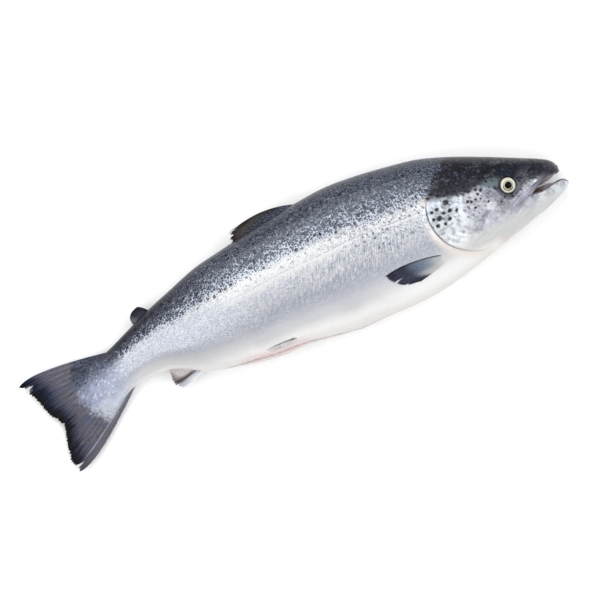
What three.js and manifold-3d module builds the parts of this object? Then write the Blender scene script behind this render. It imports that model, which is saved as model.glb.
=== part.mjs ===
// A whole raw salmon lying on its left side, head towards +X, back towards +Y, right flank up.
// The body is one closed solid with its fins; the two eyes are solids of their own.
import * as THREE from "three";
import { mergeVertices } from "three/addons/utils/BufferGeometryUtils.js";
import Module from "manifold-3d";

const wasm = await Module();
wasm.setup();

// Sizes in millimetres: u is the distance behind the lower jaw tip, v the height towards the back
const TOTAL_LENGTH = 732;
const BODY_SECTIONS = [
  // u, back, belly, half thickness
  [0, 20, -1, 6],
  [6, 33, -5.5, 12],
  [16, 41.5, -9, 17],
  [36, 53, -16, 22.5],
  [56, 64, -20, 26.5],
  [76, 75, -24.5, 29.5],
  [116, 95.5, -33, 35],
  [156, 112, -41.5, 39],
  [196, 121.5, -48, 41.5],
  [236, 129, -49, 43],
  [276, 133.5, -46.5, 43],
  [314, 132.5, -45, 42],
  [376, 128, -33.5, 38.5],
  [426, 122.5, -29, 35],
  [466, 117.5, -19.5, 30.5],
  [506, 107, -6.5, 25],
  [551, 94.5, 17.5, 19],
  [596, 79, 19.5, 13.5],
  [616, 73, 12.5, 10],
  [636, 71, 5, 6.2],
  [656, 60, 10, 3],
  [667, 50, 26, 0.8],
];
const RING_POINTS = 32;
const WIDEST_HEIGHT = 0.5;
const BACK_ROUNDNESS = 2.15;
const BELLY_ROUNDNESS = 1.95;

// How the limp fish lies: the snout and the tail hang a little clear of the board
const SNOUT_LIFT = 14;
const SNOUT_LIFT_REACH = 220;
const TAIL_LIFT = 7;
const TAIL_LIFT_START = 420;
const RESTING_FLAT = 1.5;

// Head
const GILL_COVER = { u: 120, v: 31, radius: 58, raise: 2.4, front: 118, top: 56 };
const CHEEK_CREASE = { u: 90, v: 17, radius: 45, width: 1.8, depth: 1.1, from: -66, to: 36 };
const EYE = { u: 70.5, v: 31.5, radius: 10.4, bulge: 4.5, sink: 1.5, tilt: 9, gap: 0.3 };
const NOSTRILS = [[49, 34.5, 1.6], [53.5, 35.5, 1.2]];
const LIP_PLATE = { from: [29, 22], to: [76, 1.5], halfWidth: [2.4, 6], raise: 1.3 };
const GAPE_TOP = [[-6, 38], [2, 26.5], [2.8, 23], [4, 19.5], [7, 18], [16, 19.6], [27, 19.8], [40, 15.4]];
const GAPE_CORNER = [54, 9];
const GAPE_BOTTOM = [[49, 7.4], [36, 5.8], [24, 6.9], [15, 8], [8, 8.2], [3, 6.5], [0.5, 3.5], [-6, 1]];
const PALATE = { u: 30, v: 19, long: 24, high: 7, wide: 12 };
const MOUTH_FLOOR = { u: 30, v: 6.5, long: 22, high: 7, wide: 11 };
const TONGUE = { u: 36, v: 3.5, long: 25, high: 8.5, wide: 7 };
const PALATE_RIDGE = { u: 34, v: 21.5, long: 26, high: 7.8, wide: 4.5 };

// The gutting cut along the belly: u, offset from the middle towards the right flank, half width
const BELLY_CUT = [
  [150, -3, 1],
  [230, 2, 1.3],
  [300, 5, 1.5],
  [360, 8, 2],
  [400, 11, 3.4],
  [450, 10, 3.4],
  [485, 5, 1.4],
];
const BELLY_CUT_DEPTH = 7;

// Fins: root line, points along the free edge, bow of the two outer rays and where it is widest,
// rays, thickness at root and edge, and how worn the free edge is
const TAIL_FIN = {
  root: [[606, 72], [598, 20]],
  edge: [[730, 84], [719, 61], [714, 40], [703, 17], [709, -4], [714, -28], [710, -44.5]],
  bow: [15, -15], knee: 0.86, rays: 15, rows: 6, thick: [5.4, 1.5], ragged: 0.045, seed: 3,
};
const DORSAL_FIN = {
  root: [[308, 127], [390, 121]],
  edge: [[400, 138.5], [411, 136.5], [411, 124]],
  bow: [17, 0], knee: 0.5, rays: 9, rows: 5, thick: [4.6, 1.5], ragged: 0.05, seed: 5,
};
const ADIPOSE_FIN = {
  root: [[540, 94], [561, 86]],
  edge: [[552, 107], [561, 104], [566.5, 98], [567, 91]],
  bow: [3, -1], knee: 0.5, rays: 3, rows: 3, thick: [5, 2.4], ragged: 0, seed: 1,
};
const ANAL_FIN = {
  root: [[500, 4], [552, 24]],
  edge: [[549, -10], [554, -5], [555, 4], [552, 11]],
  bow: [-6, 0], knee: 0.5, rays: 7, rows: 4, thick: [4.4, 1.5], ragged: 0.09, seed: 9,
};
const PECTORAL_FIN = {
  root: [[172, -11], [176, -18]],
  edge: [[259, -0.5], [256, -9], [243, -21.5], [222, -26]],
  bow: [11, -1], knee: 0.62, rays: 9, rows: 5, thick: [4.6, 3.4], ragged: 0.05, seed: 7, proud: 0.4,
};
const PELVIC_FIN = {
  root: [[384, -18.5], [385, -25]],
  edge: [[434, -14], [432, -17], [427, -20.5]],
  bow: [3, 0], knee: 0.5, rays: 6, rows: 4, thick: [4.2, 3.2], ragged: 0.05, seed: 8, proud: 0.3,
};
const MEMBRANE_NOTCH = 0.02;
const MEMBRANE_THICKNESS = 0.6;

function skinMaterial() {
  return new THREE.MeshStandardMaterial({ color: 0xb4b7bf, roughness: 0.34, metalness: 0.25 });
}

function eyeMaterial() {
  return new THREE.MeshStandardMaterial({ color: 0xcfcabb, roughness: 0.12, metalness: 0 });
}

// A smooth curve through the rows of a table, read at one place of its first column
function smooth(rows, column, at) {
  const last = rows.length - 1;
  const place = Math.min(Math.max(at, rows[0][0]), rows[last][0]);
  let i = 0;
  while (i < last - 1 && place > rows[i + 1][0]) i += 1;
  const slope = (k) => {
    const a = rows[Math.max(k - 1, 0)];
    const b = rows[Math.min(k + 1, last)];
    return (b[column] - a[column]) / (b[0] - a[0]);
  };
  const step = rows[i + 1][0] - rows[i][0];
  const t = (place - rows[i][0]) / step;
  const rise = rows[i + 1][column] - rows[i][column];
  const m0 = slope(i) * step;
  const m1 = slope(i + 1) * step;
  return rows[i][column] + t * (m0 + t * (3 * rise - 2 * m0 - m1 + t * (m0 + m1 - 2 * rise)));
}

function back(u) {
  return smooth(BODY_SECTIONS, 1, u);
}

function belly(u) {
  return smooth(BODY_SECTIONS, 2, u);
}

function halfThickness(u) {
  return smooth(BODY_SECTIONS, 3, u);
}

function middle(u) {
  return belly(u) + WIDEST_HEIGHT * (back(u) - belly(u));
}

// Height of the spine above the board
function spine(u) {
  const snout = Math.max(0, 1 - u / SNOUT_LIFT_REACH);
  const tail = Math.max(0, (u - TAIL_LIFT_START) / (TOTAL_LENGTH - TAIL_LIFT_START));
  return halfThickness(u) + SNOUT_LIFT * snout ** 1.5 + TAIL_LIFT * tail ** 1.5;
}

// How far the skin stands out from the spine plane at one height of one section
function flank(u, v) {
  const centre = middle(u);
  const half = v > centre ? back(u) - centre : centre - belly(u);
  const round = v > centre ? BACK_ROUNDNESS : BELLY_ROUNDNESS;
  const reach = Math.min(1, Math.abs(v - centre) / half);
  return halfThickness(u) * (1 - reach ** round) ** (1 / round);
}

// u runs to the rear, so it is turned round here: the head points along +X
function place(u, v, z) {
  return [TOTAL_LENGTH / 2 - u, v, z];
}

function noise(index, seed) {
  const wave = Math.sin(index * 12.9898 + seed * 78.233) * 43758.5453;
  return wave - Math.floor(wave);
}

// A closed solid from points and triangles, turned outwards if its volume comes out negative
function solid(points, triangles) {
  let volume = 0;
  for (const [a, b, c] of triangles) {
    const [p, q, r] = [points[a], points[b], points[c]];
    volume += p[0] * (q[1] * r[2] - q[2] * r[1]);
    volume += p[1] * (q[2] * r[0] - q[0] * r[2]);
    volume += p[2] * (q[0] * r[1] - q[1] * r[0]);
  }
  const faces = volume < 0 ? triangles.map(([a, b, c]) => [a, c, b]) : triangles;
  const geometry = new THREE.BufferGeometry();
  geometry.setAttribute("position", new THREE.Float32BufferAttribute(points.flat(), 3));
  geometry.setIndex(faces.flat());
  return toManifold(geometry);
}

function toManifold(geometry) {
  const bare = new THREE.BufferGeometry();
  bare.setAttribute("position", geometry.getAttribute("position").clone());
  if (geometry.index) bare.setIndex(geometry.index.clone());
  const merged = mergeVertices(bare, 1e-4);
  const mesh = new wasm.Mesh({
    numProp: 3,
    vertProperties: new Float32Array(merged.getAttribute("position").array),
    triVerts: new Uint32Array(merged.index.array),
  });
  return new wasm.Manifold(mesh);
}

function toGeometry(manifold) {
  const mesh = manifold.getMesh();
  const geometry = new THREE.BufferGeometry();
  geometry.setAttribute("position", new THREE.Float32BufferAttribute(mesh.vertProperties, 3));
  geometry.setIndex(new THREE.Uint32BufferAttribute(mesh.triVerts, 1));
  geometry.computeVertexNormals();
  return geometry;
}

// Rings of skin points joined into a closed loft; swell says how much a point stands out
function loft(places, swell) {
  const points = [];
  const triangles = [];
  for (const u of places) {
    const centre = middle(u);
    for (let k = 0; k < RING_POINTS; k += 1) {
      const angle = (2 * Math.PI * k) / RING_POINTS;
      const up = Math.cos(angle);
      const out = Math.sin(angle);
      const round = up > 0 ? BACK_ROUNDNESS : BELLY_ROUNDNESS;
      const half = up > 0 ? back(u) - centre : centre - belly(u);
      const v = centre + half * Math.sign(up) * Math.abs(up) ** (2 / round);
      const side = Math.abs(out) ** (2 / round) * (halfThickness(u) + swell(u, v));
      points.push(place(u, v, spine(u) + Math.sign(out) * side));
    }
  }
  for (let i = 0; i < places.length - 1; i += 1) {
    for (let k = 0; k < RING_POINTS; k += 1) {
      const a = i * RING_POINTS + k;
      const b = i * RING_POINTS + ((k + 1) % RING_POINTS);
      triangles.push([a, b, a + RING_POINTS], [b, b + RING_POINTS, a + RING_POINTS]);
    }
  }
  for (const first of [0, (places.length - 1) * RING_POINTS]) {
    const flip = first > 0;
    for (let k = 1; k < RING_POINTS - 1; k += 1) {
      const fan = [first, first + k + 1, first + k];
      triangles.push(flip ? [fan[0], fan[2], fan[1]] : fan);
    }
  }
  return solid(points, triangles);
}

function evenly(from, to, count) {
  return Array.from({ length: count }, (_, i) => from + ((to - from) * i) / (count - 1));
}

// A straight-sided block over an outline drawn in u and v, going right through the fish
function block(outline) {
  const flat = outline.map(([u, v]) => new THREE.Vector2(TOTAL_LENGTH / 2 - u, v));
  const shape = new THREE.Shape(flat);
  const geometry = new THREE.ExtrudeGeometry(shape, { depth: 200, bevelEnabled: false });
  geometry.translate(0, 0, -60);
  return toManifold(geometry);
}

function ellipsoid(centre, radii, tilt, detail) {
  const geometry = new THREE.SphereGeometry(1, detail, detail / 2);
  geometry.rotateX(Math.PI / 2);
  geometry.scale(...radii);
  geometry.rotateY(tilt);
  geometry.translate(...centre);
  return toManifold(geometry);
}

function trunk() {
  const places = [
    ...evenly(0, 16, 5),
    ...evenly(24, 76, 7),
    ...evenly(88, 196, 8),
    ...evenly(220, 500, 13),
    ...evenly(516, 667, 12),
  ];
  return loft(places, () => 0);
}

// The gill covers: the skin raised inside a round plate, sunk out of sight at its front and top
function gillCovers() {
  const edge = evenly(0, 2 * Math.PI, 49).slice(1);
  const plate = edge.map((a) => [
    GILL_COVER.u + GILL_COVER.radius * Math.cos(a),
    GILL_COVER.v + GILL_COVER.radius * Math.sin(a),
  ]);
  const swell = (u, v) => {
    const rear = Math.min(1, (u - GILL_COVER.front) / 26);
    const top = Math.min(1, (GILL_COVER.top - v) / 10);
    return Math.max(-2.5, GILL_COVER.raise * Math.min(rear, top));
  };
  return loft(evenly(92, 186, 13), swell).intersect(block(plate));
}

// The crease in front of the gill cover, as a block that only bites into the skin
function cheekCreases() {
  const from = (CHEEK_CREASE.from * Math.PI) / 180;
  const to = (CHEEK_CREASE.to * Math.PI) / 180;
  const arc = (radius, angles) => angles.map((a) => [
    CHEEK_CREASE.u + radius * Math.cos(a),
    CHEEK_CREASE.v + radius * Math.sin(a),
  ]);
  const inner = arc(CHEEK_CREASE.radius, evenly(from, to, 10));
  const outer = arc(CHEEK_CREASE.radius + CHEEK_CREASE.width, evenly(to, from, 10));
  const core = loft(evenly(60, 150, 9), () => -CHEEK_CREASE.depth);
  return block([...inner, ...outer]).subtract(core);
}

// The bony lip plate that runs from the snout down past the corner of the mouth
function lipPlates() {
  const [u0, v0] = LIP_PLATE.from;
  const [u1, v1] = LIP_PLATE.to;
  const length = Math.hypot(u1 - u0, v1 - v0);
  const along = [(u1 - u0) / length, (v1 - v0) / length];
  const outline = evenly(0, 2 * Math.PI, 25).slice(1).map((a) => {
    const run = length * (0.5 + 0.5 * Math.cos(a));
    const [narrow, broad] = LIP_PLATE.halfWidth;
    const wide = narrow + (broad - narrow) * (run / length);
    const across = wide * Math.sign(Math.sin(a)) * Math.abs(Math.sin(a)) ** 0.5;
    return [u0 + along[0] * run - along[1] * across, v0 + along[1] * run + along[0] * across];
  });
  return loft(evenly(12, 84, 9), () => LIP_PLATE.raise).intersect(block(outline));
}

function mouthOpening() {
  const gape = block([...GAPE_TOP, GAPE_CORNER, ...GAPE_BOTTOM]);
  return [PALATE, MOUTH_FLOOR].reduce((hollow, dome) => {
    const centre = place(dome.u, dome.v, spine(dome.u));
    return hollow.add(ellipsoid(centre, [dome.long, dome.high, dome.wide], 0, 16));
  }, gape);
}

// The tongue and the ridge of the palate stand in the middle of the open mouth
function mouthRidge(dome) {
  const centre = place(dome.u, dome.v, spine(dome.u));
  return ellipsoid(centre, [dome.long, dome.high, dome.wide], 0, 16);
}

// side is 1 on the right flank and -1 on the left; extra widens the ball into its socket
function eyeBall(side, extra) {
  const out = flank(EYE.u, EYE.v) - EYE.sink;
  const centre = place(EYE.u, EYE.v, spine(EYE.u) + side * out);
  const radii = [EYE.radius + extra, EYE.radius + extra, EYE.bulge + extra];
  return ellipsoid(centre, radii, (side * EYE.tilt * Math.PI) / 180, 24);
}

function nostrils() {
  return NOSTRILS.flatMap(([u, v, radius]) => [1, -1].map((side) => {
    const centre = place(u, v, spine(u) + side * flank(u, v));
    return ellipsoid(centre, [radius, radius * 0.8, 2], 0, 10);
  }));
}

// A tube that follows the belly and is taken out of it
function bellyCut() {
  const first = BELLY_CUT[0][0];
  const last = BELLY_CUT[BELLY_CUT.length - 1][0];
  const points = [];
  const triangles = [];
  const rings = evenly(first, last, 19);
  const around = 8;
  rings.forEach((u, i) => {
    const out = smooth(BELLY_CUT, 1, u);
    const wide = smooth(BELLY_CUT, 2, u);
    const reach = (1 - (Math.abs(out) / halfThickness(u)) ** BELLY_ROUNDNESS) ** (1 / BELLY_ROUNDNESS);
    const skin = middle(u) - (middle(u) - belly(u)) * reach;
    const taper = Math.sin((Math.PI * (i + 0.6)) / (rings.length + 0.2)) ** 0.5;
    for (let k = 0; k < around; k += 1) {
      const angle = (2 * Math.PI * k) / around;
      const deep = BELLY_CUT_DEPTH * taper * Math.cos(angle);
      const across = wide * taper * Math.sin(angle);
      points.push(place(u, skin + deep - across * 0.35, spine(u) + out + across - deep * 0.35));
    }
  });
  for (let i = 0; i < rings.length - 1; i += 1) {
    for (let k = 0; k < around; k += 1) {
      const a = i * around + k;
      const b = i * around + ((k + 1) % around);
      triangles.push([a, b, a + around], [b, b + around, a + around]);
    }
  }
  for (const end of [0, (rings.length - 1) * around]) {
    for (let k = 1; k < around - 1; k += 1) {
      const fan = [end, end + k + 1, end + k];
      triangles.push(end > 0 ? [fan[0], fan[2], fan[1]] : fan);
    }
  }
  return solid(points, triangles);
}

// A fin: a fan of bowed rays with thinner skin between them; height gives the middle of the sheet
function fin(sizes, height) {
  const columns = 2 * sizes.rays;
  const edge = sizes.edge.map(([u, v], i) => [i / (sizes.edge.length - 1), u, v]);
  const [front, rear] = sizes.root;
  const upper = [];
  const lower = [];
  for (let c = 0; c <= columns; c += 1) {
    const q = c / columns;
    const root = [front[0] + q * (rear[0] - front[0]), front[1] + q * (rear[1] - front[1])];
    const tip = [smooth(edge, 1, q), smooth(edge, 2, q)];
    const run = [tip[0] - root[0], tip[1] - root[1]];
    const length = Math.hypot(...run);
    const bow = sizes.bow[0] + q * (sizes.bow[1] - sizes.bow[0]);
    const knee = [
      root[0] + run[0] * sizes.knee - (run[1] / length) * bow,
      root[1] + run[1] * sizes.knee + (run[0] / length) * bow,
    ];
    const isSkin = c % 2 === 1;
    const outer = c === 0 || c === columns;
    const notch = isSkin ? MEMBRANE_NOTCH : 0;
    const worn = outer ? 0 : sizes.ragged * noise(c, sizes.seed);
    const reach = 1 - (sizes.ragged > 0 ? notch : 0) - worn;
    for (let r = 0; r <= sizes.rows; r += 1) {
      const t = (reach * r) / sizes.rows;
      const at = [0, 1].map((k) => (
        (1 - t) ** 2 * root[k] + 2 * t * (1 - t) * knee[k] + t * t * tip[k]
      ));
      const thick = sizes.thick[0] + t * (sizes.thick[1] - sizes.thick[0]);
      const half = (thick / 2) * (isSkin ? 1 - (1 - MEMBRANE_THICKNESS) * Math.min(1, 2 * t) : 1);
      const z = height(at[0], at[1], t);
      upper.push(place(at[0], at[1], z + half));
      lower.push(place(at[0], at[1], z - half));
    }
  }
  return sheet(upper, lower, columns, sizes.rows);
}

// Two grids of points, one above the other, closed by a rim
function sheet(upper, lower, columns, rows) {
  const points = [...upper, ...lower];
  const under = upper.length;
  const at = (c, r) => c * (rows + 1) + r;
  const triangles = [];
  for (let c = 0; c < columns; c += 1) {
    for (let r = 0; r < rows; r += 1) {
      const corners = [at(c, r), at(c + 1, r), at(c + 1, r + 1), at(c, r + 1)];
      const [a, b, d, e] = corners;
      triangles.push([a, b, d], [a, d, e]);
      triangles.push([a + under, d + under, b + under], [a + under, e + under, d + under]);
    }
  }
  const rim = [];
  for (let r = 0; r < rows; r += 1) rim.push([at(0, r), at(0, r + 1)]);
  for (let c = 0; c < columns; c += 1) rim.push([at(c, rows), at(c + 1, rows)]);
  for (let r = rows; r > 0; r -= 1) rim.push([at(columns, r), at(columns, r - 1)]);
  for (let c = columns; c > 0; c -= 1) rim.push([at(c, 0), at(c - 1, 0)]);
  for (const [a, b] of rim) triangles.push([a, b, b + under], [a, b + under, a + under]);
  return solid(points, triangles);
}

// Fins that stand in the plane of the spine
function spineFin(sizes) {
  return fin(sizes, (u) => spine(u));
}

function tailFin() {
  const end = 640;
  return fin(TAIL_FIN, (u, v) => {
    const cup = 2.5 * ((v - 22) / 60) ** 2;
    return spine(Math.min(u, end)) + (u > end ? 0.02 * (u - end) : 0) + cup * Math.min(1, (u - 590) / 80);
  });
}

// Fins folded flat against a flank
function flankFin(sizes, side) {
  return fin(sizes, (u, v, t) => {
    const out = flank(u, v) + sizes.proud * t - 1;
    return spine(u) + side * out;
  });
}

function fish() {
  const raised = [
    gillCovers(), lipPlates(), spineFin(DORSAL_FIN), spineFin(ADIPOSE_FIN), spineFin(ANAL_FIN),
    tailFin(), flankFin(PECTORAL_FIN, 1), flankFin(PECTORAL_FIN, -1),
    flankFin(PELVIC_FIN, 1), flankFin(PELVIC_FIN, -1),
  ];
  const cuts = [mouthOpening(), cheekCreases(), bellyCut(), ...nostrils()];
  cuts.push(eyeBall(1, EYE.gap), eyeBall(-1, EYE.gap));
  let whole = trunk();
  for (const part of raised) whole = whole.add(part);
  for (const cut of cuts) whole = whole.subtract(cut);
  return whole.add(mouthRidge(TONGUE)).add(mouthRidge(PALATE_RIDGE)).subtract(board());
}

// The board under the fish presses a small flat into the lower flank
function board() {
  const geometry = new THREE.BoxGeometry(900, 500, 100);
  geometry.translate(0, 0, RESTING_FLAT - 50);
  return toManifold(geometry);
}

function named(name, manifold, material) {
  const mesh = new THREE.Mesh(toGeometry(manifold), material);
  mesh.name = name;
  return mesh;
}

const group = new THREE.Group();
group.name = "whole_raw_fish";
group.add(named("fish_body", fish(), skinMaterial()));
group.add(named("eye_right", eyeBall(1, 0), eyeMaterial()));
group.add(named("eye_left", eyeBall(-1, 0), eyeMaterial()));

const box = new THREE.Box3().setFromObject(group);
const middlePoint = box.getCenter(new THREE.Vector3());
for (const mesh of group.children) {
  mesh.geometry.translate(-middlePoint.x, -middlePoint.y, -box.min.z);
}

export default group;
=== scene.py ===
# %% [markdown]
# # A whole raw salmon, lying on its side
# The fish lies on its left side, and we look straight down on its right flank.
# A fish is smooth and round, so its form comes from a few measured cross sections
# with a smooth curve drawn through them, and its looks come from layered patterns:
# a dark back, a silver flank, a white belly, spots, and thousands of small scales.

import math

import bmesh
import bpy
import numpy as np
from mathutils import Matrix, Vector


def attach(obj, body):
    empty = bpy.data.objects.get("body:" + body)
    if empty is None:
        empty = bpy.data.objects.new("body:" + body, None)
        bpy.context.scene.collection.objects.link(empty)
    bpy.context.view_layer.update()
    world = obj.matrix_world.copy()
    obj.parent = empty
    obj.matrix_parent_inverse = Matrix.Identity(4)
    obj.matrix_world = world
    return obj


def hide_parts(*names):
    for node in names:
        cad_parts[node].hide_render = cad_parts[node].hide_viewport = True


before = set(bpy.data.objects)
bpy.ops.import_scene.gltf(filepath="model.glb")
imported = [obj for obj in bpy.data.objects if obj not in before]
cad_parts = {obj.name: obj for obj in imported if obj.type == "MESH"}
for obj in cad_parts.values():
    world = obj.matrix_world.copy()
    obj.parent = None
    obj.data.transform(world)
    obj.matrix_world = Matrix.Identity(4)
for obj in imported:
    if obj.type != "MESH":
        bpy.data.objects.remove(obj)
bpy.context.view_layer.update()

# %% [markdown]
# ## The cross sections
# Each row says how high the back is, how low the belly is and how thick the fish is
# at one distance behind the jaw tip. Boat builders work the same way. A sculpted mesh
# would do too, but rows of sizes stay exact and can be read by the next person.

# %% Body sections, in millimetres
TOTAL_LENGTH = 732.0
BODY_SECTIONS = [
    # behind the jaw tip, back, belly, half thickness
    [0, 20, -1, 6],
    [6, 33, -5.5, 12],
    [16, 41.5, -9, 17],
    [36, 53, -16, 22.5],
    [56, 64, -20, 26.5],
    [76, 75, -24.5, 29.5],
    [116, 95.5, -33, 35],
    [156, 112, -41.5, 39],
    [196, 121.5, -48, 41.5],
    [236, 129, -49, 43],
    [276, 133.5, -46.5, 43],
    [314, 132.5, -45, 42],
    [376, 128, -33.5, 38.5],
    [426, 122.5, -29, 35],
    [466, 117.5, -19.5, 30.5],
    [506, 107, -6.5, 25],
    [551, 94.5, 17.5, 19],
    [596, 79, 19.5, 13.5],
    [616, 73, 12.5, 10],
    [636, 71, 5, 6.2],
    [656, 60, 10, 3],
    [667, 50, 26, 0.8],
]


def smooth(rows, column, at):
    """A smooth curve through the rows of a table, read at places of its first column."""
    table = np.asarray(rows, float)
    knots, values = table[:, 0], table[:, column]
    before = np.r_[0, np.arange(len(knots) - 1)]
    after = np.r_[np.arange(1, len(knots)), len(knots) - 1]
    slopes = (values[after] - values[before]) / (knots[after] - knots[before])
    at = np.clip(np.asarray(at, float), knots[0], knots[-1])
    i = np.clip(np.searchsorted(knots, at, side="left") - 1, 0, len(knots) - 2)
    step = knots[i + 1] - knots[i]
    t = (at - knots[i]) / step
    rise = values[i + 1] - values[i]
    m0, m1 = slopes[i] * step, slopes[i + 1] * step
    return values[i] + t * (m0 + t * (3 * rise - 2 * m0 - m1 + t * (m0 + m1 - 2 * rise)))


print("depth at the dorsal fin", smooth(BODY_SECTIONS, 1, 314) - smooth(BODY_SECTIONS, 2, 314), "mm")

# %% [markdown]
# ## From the fish's own measures to the floor
# It is easiest to think in the fish's own terms: how far behind the jaw, how high
# towards the back, how far out from the spine. These helpers turn such measures into
# places on the floor. The spine sinks towards the head and the tail, because a limp
# fish settles on its flank, and nothing may go below the floor.

# %% Helpers for places on the body
MIDDLE_OF_DEPTH = 46.44
RESTING_FLAT = 1.5
BACK_ROUNDNESS, BELLY_ROUNDNESS = 2.15, 1.95


def back(u):
    """Height of the back, this far behind the jaw tip."""
    return smooth(BODY_SECTIONS, 1, u)


def belly(u):
    """Height of the belly line."""
    return smooth(BODY_SECTIONS, 2, u)


def half_thickness(u):
    """Half of the body from side to side."""
    return smooth(BODY_SECTIONS, 3, u)


def middle(u):
    """Height halfway between belly and back."""
    return (back(u) + belly(u)) / 2


def spine(u):
    """Height of the spine over the floor: the limp fish hangs a little at both ends."""
    u = np.asarray(u, float)
    snout = 14 * np.clip(1 - u / 220, 0, None) ** 1.5
    tail = 7 * np.clip((u - 420) / (TOTAL_LENGTH - 420), 0, None) ** 1.5
    return half_thickness(u) + snout + tail


def flank(u, v):
    """How far the skin stands out from the spine at one height of one section."""
    centre = middle(u)
    above = v > centre
    half = np.where(above, back(u) - centre, centre - belly(u))
    round_ = np.where(above, BACK_ROUNDNESS, BELLY_ROUNDNESS)
    reach = np.clip(np.abs(v - centre) / half, 0, 1)
    return half_thickness(u) * (1 - reach**round_) ** (1 / round_)


def on_floor(u, v, z):
    """Millimetres on the fish to metres on the floor, with the head towards +X."""
    u, v, z = np.broadcast_arrays(u, v, z)
    x = TOTAL_LENGTH / 2 - 1 - u
    return np.stack([x, v - MIDDLE_OF_DEPTH, np.maximum(z - RESTING_FLAT, 0)], -1) / 1000


def ease(value, low, high):
    """0 below low, 1 above high, and a soft step between."""
    t = np.clip((np.asarray(value, float) - low) / (high - low), 0, 1)
    return t * t * (3 - 2 * t)


print("spine height over the floor at head, middle and tail", spine([20, 300, 640]).round(1))

# %% [markdown]
# ## Turning grids of points into pieces
# Every piece of the fish is a grid of points bent into shape: a tube for the body, a
# sheet with two sides for a fin. One helper makes the mesh, lays the painting
# coordinates on it and turns all faces outwards.

# %% Mesh helpers
def make_piece(name, points, faces, coords, paint=None):
    """One mesh object with its painting maps, all faces turned outwards."""
    mesh = bpy.data.meshes.new(name)
    mesh.from_pydata(points.tolist(), [], faces)
    corners = np.empty(len(mesh.loops), np.int32)
    mesh.loops.foreach_get("vertex_index", corners)
    for layer, values in coords.items():
        uv = mesh.uv_layers.new(name=layer)
        uv.data.foreach_set("uv", values[corners].astype(np.float32).ravel())
    if paint is not None:
        layer = mesh.color_attributes.new(name="Regions", type="FLOAT_COLOR", domain="POINT")
        layer.data.foreach_set("color", paint.astype(np.float32).ravel())
    turned = bmesh.new()
    turned.from_mesh(mesh)
    bmesh.ops.recalc_face_normals(turned, faces=turned.faces)
    turned.to_mesh(mesh)
    turned.free()
    mesh.polygons.foreach_set("use_smooth", [True] * len(mesh.polygons))
    piece = bpy.data.objects.new(name.replace(" ", "_"), mesh)
    bpy.context.scene.collection.objects.link(piece)
    return piece


def grid_faces(rows, columns, start=0, ring=False):
    """Quads over a grid of rows by columns points, closed into a ring if asked."""
    r = np.arange(rows - 1)[:, None]
    c = np.arange(columns if ring else columns - 1)[None, :]
    a = start + r * columns + c
    b = start + r * columns + (c + 1) % columns
    return np.stack([a, b, b + columns, a + columns], -1).reshape(-1, 4).tolist()


def closed_tube(rows, sides):
    """A tube of quads with one flat face over each end."""
    ends = [list(range(sides)), list(range((rows - 1) * sides, rows * sides))]
    return grid_faces(rows, sides, ring=True) + ends


def two_sided(name, upper, lower, coords, paint=None):
    """A thin closed piece from its upper and its lower grid of points."""
    rows, columns = upper.shape[:2]
    count = rows * columns
    faces = grid_faces(rows, columns) + grid_faces(rows, columns, count)
    edge = list(range(columns)) + [r * columns + columns - 1 for r in range(1, rows)]
    edge += [count - 1 - c for c in range(1, columns)] + [r * columns for r in range(rows - 2, 0, -1)]
    faces += [[a, b, b + count, a + count] for a, b in zip(edge, edge[1:] + edge[:1])]
    points = np.concatenate([upper.reshape(-1, 3), lower.reshape(-1, 3)])
    doubled = {k: np.concatenate([v.reshape(-1, 2)] * 2) for k, v in coords.items()}
    if paint is not None:
        paint = np.concatenate([paint.reshape(-1, 4)] * 2)
    return make_piece(name, points, faces, doubled, paint)


print("a tube of 3 rings with 4 sides has", len(closed_tube(3, 4)), "faces with its ends")

# %% [markdown]
# ## The relief of the skin
# The skin isn't a plain tube. It sinks round the eye, folds in front of the gill
# cover, and has two nostril pits. Small heights added along the way out from the
# spine make real shape that catches the light, which a painted line can't do.

# %% Relief in millimetres
EYE = {"u": 70.5, "v": 31.5, "radius": 10.4, "bulge": 4.5, "sink": 1.5, "tilt": 9}
GILL_COVER = {"u": 120.0, "v": 31.0, "radius": 58.0, "raise": 2.4, "front": 118.0, "top": 56.0}
CREASE = {"u": 90.0, "v": 17.0, "radius": 45.9, "depth": 1.2}
NOSTRILS = [(49.0, 34.5, 1.7), (53.5, 35.5, 1.3)]


def gill_raise(u, v):
    """How far the gill cover stands off the skin: most at its free rear rim."""
    rear = np.minimum(1, (u - GILL_COVER["front"]) / 26)
    top = np.minimum(1, (GILL_COVER["top"] - v) / 10)
    return np.maximum(-2.5, GILL_COVER["raise"] * np.minimum(rear, top))


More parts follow.
